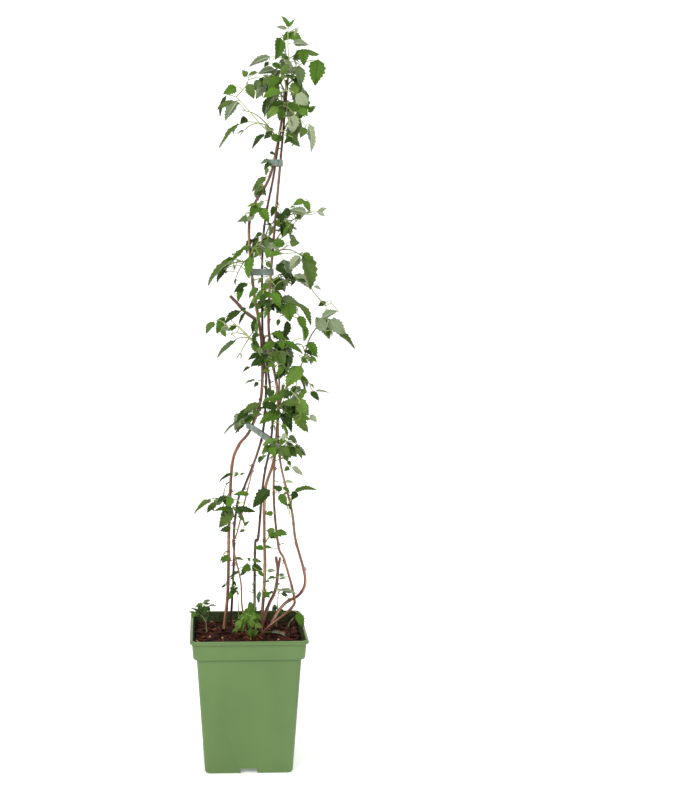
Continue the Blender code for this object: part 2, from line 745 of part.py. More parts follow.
def leaf_places(mass, twig, number, count, line, tip, size):
    """The ways that one leaf of three leaflets could sit: its stalk's ends and its leaflets."""
    share = 1 - (1 - FIRST_LEAF) * (count - 1 - number) / max(1, count - 1)
    root, _ = along(line, share)
    bearing, end_rise, end_droop = end_pose(mass, twig, tip - line[0])
    last = number == count - 1
    for attempt in range(TRIES):
        rng = random.Random(f"{mass} {twig} {number} {attempt}")
        spread = rng.uniform(45, 95) * (1 if (number + twig) % 2 else -1) * (1 if attempt < 3 else -1)
        if end_rise > STEEP:
            spread = 137.5 * number + rng.uniform(-30, 30) + 60 * attempt
        azimuth = bearing + math.radians(spread)
        rise = math.radians(rng.uniform(5, 42) - 6 * attempt)
        droop = math.radians(rng.uniform(30, 84))
        stalk = size * rng.uniform(0.45, 0.72)
        if last:
            azimuth = bearing + math.radians(rng.uniform(-8, 8) * attempt)
            rise = end_rise - math.radians(7 * attempt)
            droop = end_droop
            stalk = size * END_STALK_SHARE
        out = direction(azimuth, rise)
        across = leaf_frame(Vector(), out, 0).to_3x3()
        leaflets = {}
        for side, scale in ((0, 1), (1, SIDE_LEAFLET_SHARE), (-1, SIDE_LEAFLET_SHARE)):
            yaw = math.radians(rng.uniform(*END_YAW) if side == 0 else side * rng.uniform(*SIDE_YAW))
            fall = droop * (1 if side == 0 else rng.uniform(0.4, 0.8))
            axis = across @ direction(yaw, -fall)
            length = size * scale * rng.uniform(0.88, 1.14)
            width = length * LEAF_WIDTH_SHARE * rng.uniform(0.88, 1.1)
            place = root + out * stalk * (1 if side == 0 else (SIDE_LEAFLET_AT + 1) / 2)
            roll = math.radians(rng.uniform(-30, 30))
            leaflets[side] = (leaf_frame(place, axis, roll), length, width)
        yield root - out * (TWIG_RADIUS if last else 0), root + out * stalk, leaflets


def shoot_stem(name, lines):
    """The points of a side shoot's main stem, from just clear of its cane or of the soil."""
    carrier, height, tips = SHOOTS[name]
    tip, size = Vector(tips[0][:3]) * MM, tips[0][4] * MM
    if carrier not in lines:
        foot = Vector((*carrier, height)) * MM + UP * GAP
        return [foot, *stem_line(name, 0, foot + UP * 0.004, tip, size)]
    path, radii = lines[carrier]
    base, radius = at_height(path, radii, height * MM)
    if base.z >= path[-1].z:
        return stem_line(name, 0, base + UP * (GAP + STEM_RADIUS), tip, size)
    heading = at_height(path, radii, base.z + 0.002)[0] - at_height(path, radii, base.z - 0.002)[0]
    heading.normalize()
    out = tip - base
    side = (out - heading * out.dot(heading)).normalized()
    start = base + side * (radius * 1.06 + GAP)
    line = stem_line(name, 0, start, tip, size)
    lean = (line[1] - line[0]).normalized().dot(side)
    return stem_line(name, 0, start + side * STEM_RADIUS * math.sqrt(1 - lean * lean), tip, size)


def grow_mass(name, stem, trees):
    """The tubes and leaves of one side shoot. What would touch the rest of the plant is left out."""
    tubes = [(stem, [STEM_RADIUS, *[TWIG_RADIUS] * (len(stem) - 2), TIP_RADIUS])]
    leaves, own = [], []
    for twig, (x, y, z, count, size) in enumerate(SHOOTS[name][2]):
        line, tip = stem, Vector((x, y, z)) * MM
        if twig:
            fork, _ = along(stem, 0.12 + 0.12 * twig)
            line = stem_line(name, twig, fork, tip, size * MM)
            if touches(tested_stalk(line, TWIG_RADIUS * 1.8), trees):
                continue
            tubes.append((line, [TWIG_RADIUS, *[TIP_RADIUS] * (len(line) - 1)]))
        for number in range(count):
            best = None
            for leaf in leaf_places(name, twig, number, count, line, tip, size * MM):
                leaf = fitted_leaf(*leaf, trees, own)
                if leaf and (best is None or len(leaf[2]) > len(best[2])):
                    best = leaf
                if best and len(best[2]) == 3:
                    break
            if best:
                leaves.append(best)
                own += [tested_leaflet(*leaflet) for leaflet in best[2].values()]
    return tubes, leaves


def fitted_leaf(root, end, leaflets, trees, own):
    """A leaf without the side leaflets that touch something or pass through the rest, or None."""
    if touches(tested_stalk([root, end], STALK_WIDTH), trees):
        return None
    near = trees + own
    free = {}
    for side, leaflet in leaflets.items():
        if within_reach(*leaflet[:2]) and not touches(tested_leaflet(*leaflet), near):
            free[side] = leaflet
    if 0 not in free:
        return None
    choices = [set(free), set(free) - {1}, set(free) - {-1}, {0}]
    for sides in choices:
        chosen = {side: free[side] for side in free if side in sides}
        if not overlaps_itself(leaf_bmesh(root, end, chosen)):
            return root, end, chosen
    return None


def keep_outer_shell(obj):
    """Drops the loose scraps and sealed hollows that a union can leave: every shell but the largest."""
    bm = bmesh.new()
    bm.from_mesh(obj.data)
    bmesh.ops.triangulate(bm, faces=bm.faces)
    left, shells = set(bm.faces), []
    while left:
        shell, waiting = set(), [next(iter(left))]
        while waiting:
            face = waiting.pop()
            if face not in shell:
                shell.add(face)
                for edge in face.edges:
                    if len(edge.link_faces) == 2:
                        waiting += edge.link_faces
        left -= shell
        shells.append(shell)
    shells.sort(key=len)
    scraps = [face for shell in shells[:-1] for face in shell]
    bmesh.ops.delete(bm, geom=scraps, context="FACES")
    bm.to_mesh(obj.data)
    bm.free()


def make_mass(name, stem, trees, parts, profile, material):
    """One side shoot as one solid: its tubes and leaflets in a collection, joined by one Boolean union."""
    tubes, leaves = grow_mass(name, stem, trees)
    mass = tube(f"foliage_{name}", *tubes[0], profile, parts, material)
    pile = new_collection(f"pieces_{name}")
    for number, (path, radii) in enumerate(tubes[1:]):
        tube(f"{name}_twig_{number}", path, radii, profile, pile)
    for number, leaf in enumerate(leaves):
        mesh_object(f"{name}_leaf_{number}", leaf_bmesh(*leaf), pile)
    union = mass.modifiers.new("union", "BOOLEAN")
    union.operation = "UNION"
    union.operand_type = "COLLECTION"
    union.collection = pile
    union.solver = "MANIFOLD"
    graph = bpy.context.evaluated_depsgraph_get()
    joined = bpy.data.meshes.new_from_object(mass.evaluated_get(graph))
    mass.modifiers.clear()
    mass.data = joined
    joined.materials.clear()
    joined.materials.append(material)
    for obj in list(pile.objects):
        bpy.data.objects.remove(obj, do_unlink=True)
    bpy.data.collections.remove(pile)
    keep_outer_shell(mass)
    return mass


def main():
    clear_scene()
    parts = new_collection("potted_raspberry")
    cutters = new_collection("cutters")
    materials = {name: new_material(name) for name in SLOTS}
    cane_profile = make_profile(6, cutters)
    twig_profile = make_profile(TWIG_SIDES, cutters)

    make_pot(parts, cutters, materials["pot_plastic"])
    make_soil(parts, cutters, materials["potting_soil"])
    lines = make_canes(parts, cane_profile, materials["cane_bark"])
    make_stubs(parts, cutters, cane_profile, materials["cut_wood"])
    for name in TIES:
        make_tie(name, lines, parts, materials["tie_plastic"])

    bpy.context.view_layer.update()
    graph = bpy.context.evaluated_depsgraph_get()
    trees = []
    for obj in parts.objects:
        bm = bmesh.new()
        bm.from_object(obj, graph)
        trees.append(BVHTree.FromBMesh(bm))
        bm.free()
    stems = {name: shoot_stem(name, lines) for name in SHOOTS}
    unmade = {name: tested_stalk(stem, 2 * STEM_RADIUS) for name, stem in stems.items()}
    for name, stem in stems.items():
        del unmade[name]
        mass = make_mass(name, stem, [*trees, *unmade.values()], parts, twig_profile, materials["foliage"])
        trees.append(tree_of(mass))


main()
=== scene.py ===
"""The looks of the potted raspberry plant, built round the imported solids.

Metres, +Z up. The origin is the middle of the pot's flat underside, and the front faces -Y.
"""

import math
import random

import bmesh
import bpy
import numpy as np
from mathutils import Matrix, Vector, noise
from mathutils.bvhtree import BVHTree


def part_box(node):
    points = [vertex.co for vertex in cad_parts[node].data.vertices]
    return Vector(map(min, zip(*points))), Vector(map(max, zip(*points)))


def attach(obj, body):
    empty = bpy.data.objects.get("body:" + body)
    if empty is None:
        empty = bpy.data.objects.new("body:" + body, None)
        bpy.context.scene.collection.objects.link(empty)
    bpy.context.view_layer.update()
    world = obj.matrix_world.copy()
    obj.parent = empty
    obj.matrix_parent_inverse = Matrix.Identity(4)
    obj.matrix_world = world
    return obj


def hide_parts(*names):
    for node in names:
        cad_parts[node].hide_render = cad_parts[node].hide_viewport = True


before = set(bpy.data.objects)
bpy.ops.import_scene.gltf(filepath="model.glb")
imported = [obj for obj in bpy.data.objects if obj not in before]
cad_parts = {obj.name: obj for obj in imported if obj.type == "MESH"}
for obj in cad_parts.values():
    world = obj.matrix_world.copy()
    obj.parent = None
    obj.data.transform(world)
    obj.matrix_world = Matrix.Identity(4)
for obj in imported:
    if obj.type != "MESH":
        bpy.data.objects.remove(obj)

MM = 0.001
UP = Vector((0, 0, 1))
GAP = 0.0003
PARALLEL = 0.001  # a cross product this short means two directions along each other
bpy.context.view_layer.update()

# Sizes of the pot, as the solids have them.
POT_HEIGHT = 0.213
BASE_HALF = 0.0675
BODY_TOP_HALF = 0.0795
BAND_BOTTOM_HALF = 0.0850
BAND_TOP_HALF = 0.0865
LIP_HALF = 0.0900
BAND_BOTTOM = 0.183
LIP_HEIGHT = 0.006
BASE_ROUNDING = 0.003
POT_WALL = 0.0018
BAND_STEP = 0.002
INSIDE_DEPTH = 0.02  # how far below the soil's top the painted shade on the pot's inside goes
CORNER_SHARE = 0.12
CORNER_STEPS = 10
NOTCH_WIDTH = 0.026
NOTCH_HEIGHT = 0.008
NOTCH_DEPTH = 0.024
DRAIN_RADIUS = 0.004
SOIL_TOP = 0.195

# Canes: points in millimetres from the soil up, and diameters at foot and tip.
CANES = {
    "left_cane": (
        (
            (-36, 45, 195), (-30, 45, 259), (-28, 31, 372), (-24, 10, 463), (-14, 2, 497), (4, -1, 522),
            (21, -2, 575), (21, -2, 661), (9, -2, 738), (2, -2, 825), (10, -3, 865), (36, -5, 915),
            (56, -6, 1021), (57, -6, 1050),
        ),
        (5.4, 4.0), "bark_red", ("left_cane_lower", "left_cane_middle", "left_cane_upper"),
    ),
    "back_cane": (
        (
            (-25, 60, 195), (-20, 51, 306), (-20, 43, 356), (-13, 32, 410), (-3, 28, 431), (23, 10, 511),
            (29, 10, 598), (24, 10, 645), (24, 10, 811), (41, 7, 917), (56, 6, 1020),
        ),
        (4.2, 3.4), "bark_dark", ("back_cane_lower", "back_cane_upper"),
    ),
    "main_cane": (
        (
            (22, 18, 195), (28, 20, 293), (27, 20, 356), (28, 9, 427), (42, 1, 481), (47, -1, 571),
            (36, 2, 645), (34, 2, 737), (61, 1, 1058),
        ),
        (5.4, 3.4), "bark_pink", ("main_cane",),
    ),
    "short_cane": (
        (
            (12, 30, 195), (13, 30, 332), (18, 30, 348), (26, 26, 439), (37, 13, 503), (38, 14, 560),
            (25, 21, 668),
        ),
        (4.6, 3.4), "bark_dark", ("short_cane",),
    ),
    "front_cane": (
        (
            (20, -5, 195), (34, -10, 214), (68, -10, 243), (72, -10, 262), (57, -10, 319), (47, -10, 345),
            (40, -9, 438), (48, -10, 575), (47, -9, 612),
        ),
        (4.4, 3.2), "bark_red", ("front_cane_lower", "front_cane_upper"),
    ),
    "bowed_cane": (
        (
            (33, 27, 195), (57, 22, 239), (83, 5, 262), (90, 0, 290), (75, 2, 349), (69, 4, 395),
            (50, 7, 480), (52, 12, 565), (82, 2, 620), (95, 0, 662), (111, 0, 687),
        ),
        (5.4, 1.9), "bark_pink", ("bowed_cane_lower", "bowed_cane_middle", "bowed_cane_upper"),
    ),
    "thin_cane": (
        (
            (-1, -7, 195), (-9, -8, 248), (-11, -8, 286), (-23, 2, 343), (-16, 4, 361), (4, 8, 442),
            (14, 5, 482),
        ),
        (2.9, 2.2), "bark_red", ("thin_cane",),
    ),
}
FLARE = 1.3
FLARE_HEIGHT = 0.016
CAD_SPACING = 0.030
CANE_SPACING = 0.0016
CANE_SIDES = 16
SUNK = 0.0025  # how far a cane's foot goes down between the bark chips
STRAIGHT_FOOT = 0.003

# Stubs: points in millimetres, and diameters at foot and cut end.
STUB_PATHS = {
    "forked_stub": (
        (24, 40, 195), (28, 38, 215), (36, 35, 239), (45, 32, 260), (49, 30, 291), (46, 29, 316),
    ),
    "upper_stub": ((14, -3.5, 691), (-4, -6, 704), (-16, -8, 717), (-27, -10, 728)),
}
FORK_PATH = ((47, 31, 280), (50, 31, 296), (53, 33, 314))
STUB_DIAMETERS = (6.0, 4.8)

# Ties: the height and slope of each, and the canes that it holds.
TIES = {
    "lower_tie": (
        0.508, -0.70, ("left_cane", "back_cane", "main_cane", "short_cane", "front_cane", "bowed_cane"),
    ),
    "middle_tie": (0.764, 0.0, ("left_cane", "back_cane", "main_cane")),
    "upper_tie": (0.928, 0.0, ("left_cane", "back_cane", "main_cane")),
}
TIE_HEIGHT = 0.010
TIE_THICKNESS = 0.0007
TIE_SLACK = 0.0011
TIE_SIDES = 24
TIE_LEVELS, TIE_SPACING = 9, 0.0015
TIE_BULGE, TIE_CREASE, TIE_WAVE = 0.00022, 0.00025, 0.0005
LAP_STEPS, LAP_GAP, LAP_LIFT, LAP_SHARE = 8, 0.0011, 0.0026, 0.46

# Side shoots, as the solids have them: the cane and height that each starts from, or a point in the soil,
# and its tips. A tip has a place, a number of leaves and the length of an end leaflet, in millimetres.
SHOOTS = {
    "leader": ("main_cane", 1058, ((53, -2, 1143, 4, 23), (40, -14, 1080, 1, 30), (94, 6, 1094, 1, 30))),
    "top_right": ("main_cane", 1044, ((118, -14, 1046, 5, 40),)),
    "top_left": ("left_cane", 1034, ((-12, -10, 1062, 5, 33),)),
    "top_back": ("back_cane", 1014, ((58, 64, 1058, 4, 36), (24, 66, 1002, 3, 34))),
    "top_front": (
        "left_cane", 1004, ((34, -60, 1036, 4, 34), (80, -50, 990, 3, 36), (74, -24, 958, 1, 38)),
    ),
    "far_left": ("left_cane", 962, ((-42, 4, 1010, 6, 32), (-45, -14, 950, 4, 34))),
    "top_low_right": ("main_cane", 978, ((114, -10, 1000, 3, 30), (104, 20, 950, 2, 38))),
    "neck": ("left_cane", 892, ((8, -12, 906, 4, 20), (34, 40, 922, 2, 24), (0, 6, 872, 2, 26))),
    "upper_left": ("left_cane", 850, ((-28, -8, 846, 4, 25),)),
    "upper_right": ("main_cane", 808, ((120, -16, 858, 6, 27), (84, -24, 812, 3, 24))),
    "upper_back": ("back_cane", 806, ((66, 56, 846, 4, 34), (10, 58, 812, 3, 34))),
    "middle_left": (
        "left_cane", 776, ((-62, 2, 744, 5, 28), (-16, -14, 716, 2, 31), (-34, 30, 766, 2, 27)),
    ),
    "middle_front": (
        "left_cane", 790, ((46, -42, 804, 3, 28), (2, -44, 778, 3, 30), (24, -48, 732, 3, 34)),
    ),
    "middle_right": ("main_cane", 748, ((111, 4, 738, 4, 26), (68, 52, 756, 3, 34))),
    "right_pendant": ("main_cane", 792, ((102, -20, 738, 2, 50),)),
    "left_spray": (
        "left_cane", 648, ((-64, -6, 676, 6, 27), (-46, 10, 634, 2, 26), (-8, -12, 614, 2, 24)),
    ),
    "right_centre": ("main_cane", 706, ((104, -16, 676, 4, 38), (46, -46, 702, 3, 34))),
    "arm_tip": ("bowed_cane", 687, ((164, -4, 650, 5, 42),)),
    "arm_low": ("bowed_cane", 636, ((114, -18, 626, 3, 26), (60, -32, 644, 2, 28))),
    "centre_front": ("main_cane", 634, ((18, -46, 640, 3, 32), (82, -16, 624, 2, 34))),
    "centre_back": ("short_cane", 660, ((54, 66, 666, 4, 36),)),
    "low_right": ("front_cane", 606, ((124, -10, 566, 4, 30), (72, -34, 586, 2, 36))),
    "low_right_front": ("main_cane", 556, ((104, -22, 522, 4, 36),)),
    "low_left": ("left_cane", 548, ((-38, -8, 506, 5, 29), (-8, -14, 562, 2, 26))),
    "low_front": ("front_cane", 538, ((22, -50, 522, 3, 36),)),
    "low_back": ("back_cane", 540, ((40, 66, 546, 4, 36),)),
    "below_tie": ("front_cane", 484, ((88, -20, 484, 4, 28), (18, -36, 468, 2, 28))),
    "lower_right": (
        "bowed_cane", 404, ((106, -4, 424, 3, 30), (50, -20, 396, 1, 30), (84, 6, 450, 1, 22)),
    ),
    "lower_left": (
        "left_cane", 396, ((-84, 2, 394, 4, 32), (-44, -18, 368, 2, 36), (-20, -6, 440, 2, 22)),
    ),
    "lower_centre": ("main_cane", 412, ((4, -24, 384, 2, 38),)),
    "left_sprig": ("left_cane", 322, ((-56, 26, 306, 3, 20),)),
    "lower_sprig": ("main_cane", 340, ((60, -6, 354, 3, 20), (8, 56, 330, 3, 30))),
    "green_sucker": ((14, 2), SOIL_TOP / MM, ((6, -6, 318, 5, 28),)),
    "left_sucker": ((-12, 34), SOIL_TOP / MM, ((-16, 28, 292, 4, 26),)),
    "back_sucker": ((48, 52), SOIL_TOP / MM, ((54, 50, 292, 4, 28),)),
    "edge_sprig": ((-64, 24), SOIL_TOP / MM, ((-68, 22, 246, 4, 22),)),
    "front_sprig": ((4, -24), SOIL_TOP / MM, ((6, -32, 252, 5, 28),)),
    "corner_sprig": ((66, 36), SOIL_TOP / MM, ((76, 24, 238, 2, 32),)),
}
STEM_STEPS = 10
ARCH = 0.22
SHORTEST_STEM = 0.30
STEM_ROOT = 0.7  # where a stem starts, as a share of its cane's radius
RISE_FROM_SOIL, SLOPE_STEP = 0.004, 0.002
STEEP = math.radians(55)
END_STALK_SHARE = 0.5
END_DROOP, END_LIFT = (35, 95), 0.4
FIRST_LEAF = 0.14
TRIES = 20
SIDE_LEAFLET_SHARE = 0.78
SIDE_LEAFLET_AT = 0.78
LEAF_WIDTH_SHARE = 0.60
TEST_THICKNESS = 0.0008
STEM_RADIUS = 0.0012
TWIG_RADIUS = 0.0009
TIP_RADIUS = 0.0006
STALK_RADIUS = 0.00045
CURL_POWER = 1.4  # a leaflet curls more towards its point

# Colour and roughness of the leaves, twigs and buds.
PLAIN = {
    "leaf_mid": ((0.058, 0.126, 0.010), 0.55),
    "leaf_olive": ((0.080, 0.130, 0.026), 0.55),
    "leaf_dark": ((0.024, 0.054, 0.006), 0.55),
    "leaf_bright": ((0.082, 0.175, 0.016), 0.52),
    "leaf_fresh": ((0.110, 0.195, 0.030), 0.55),
    "leaf_grey": ((0.098, 0.140, 0.056), 0.64),
    "vein_top": ((0.115, 0.190, 0.045), 0.58),
    "vein_dark": ((0.050, 0.098, 0.026), 0.55),
    "under_pale": ((0.255, 0.300, 0.180), 0.80),
    "under_grey": ((0.185, 0.235, 0.135), 0.80),
    "under_green": ((0.125, 0.185, 0.075), 0.75),
    "vein_under": ((0.330, 0.390, 0.240), 0.75),
    "twig_green": ((0.180, 0.235, 0.060), 0.60),
    "twig_pale": ((0.330, 0.380, 0.150), 0.60),
    "bud_brown": ((0.110, 0.045, 0.030), 0.70),
}
PLAIN_INDEX = {name: number for number, name in enumerate(PLAIN)}

# The pieces that the foliage goes to, by height.
GROUPS = {
    "top": (0.93, 2.0),
    "upper": (0.77, 0.93),
    "middle": (0.60, 0.77),
    "low": (0.44, 0.60),
    "foot": (0.0, 0.44),
}

# The photo's camera: as high as the middle of the crown, turned down by under six degrees and right by two.
PHOTO_WIDTH, PHOTO_HEIGHT = 690, 812
CAMERA_DISTANCE, CAMERA_HEIGHT = 1.899, 0.7505
CAMERA_YAW, CAMERA_PITCH = math.radians(2.0), math.radians(5.76)
LENS, SENSOR, SHIFT = 54.93, 36, 0.120
CAMERA = Vector((
    -CAMERA_DISTANCE * math.sin(CAMERA_YAW),
    -CAMERA_DISTANCE * math.cos(CAMERA_YAW),
    CAMERA_HEIGHT,
))
AHEAD = Vector((
    math.sin(CAMERA_YAW) * math.cos(CAMERA_PITCH),
    math.cos(CAMERA_YAW) * math.cos(CAMERA_PITCH),
    -math.sin(CAMERA_PITCH),
))
RIGHT = AHEAD.cross(UP).normalized()
RISE = RIGHT.cross(AHEAD)
FOCAL = LENS / SENSOR * PHOTO_HEIGHT  # pixels
MIDDLE_U, MIDDLE_V = PHOTO_WIDTH / 2 - SHIFT * PHOTO_HEIGHT, PHOTO_HEIGHT / 2

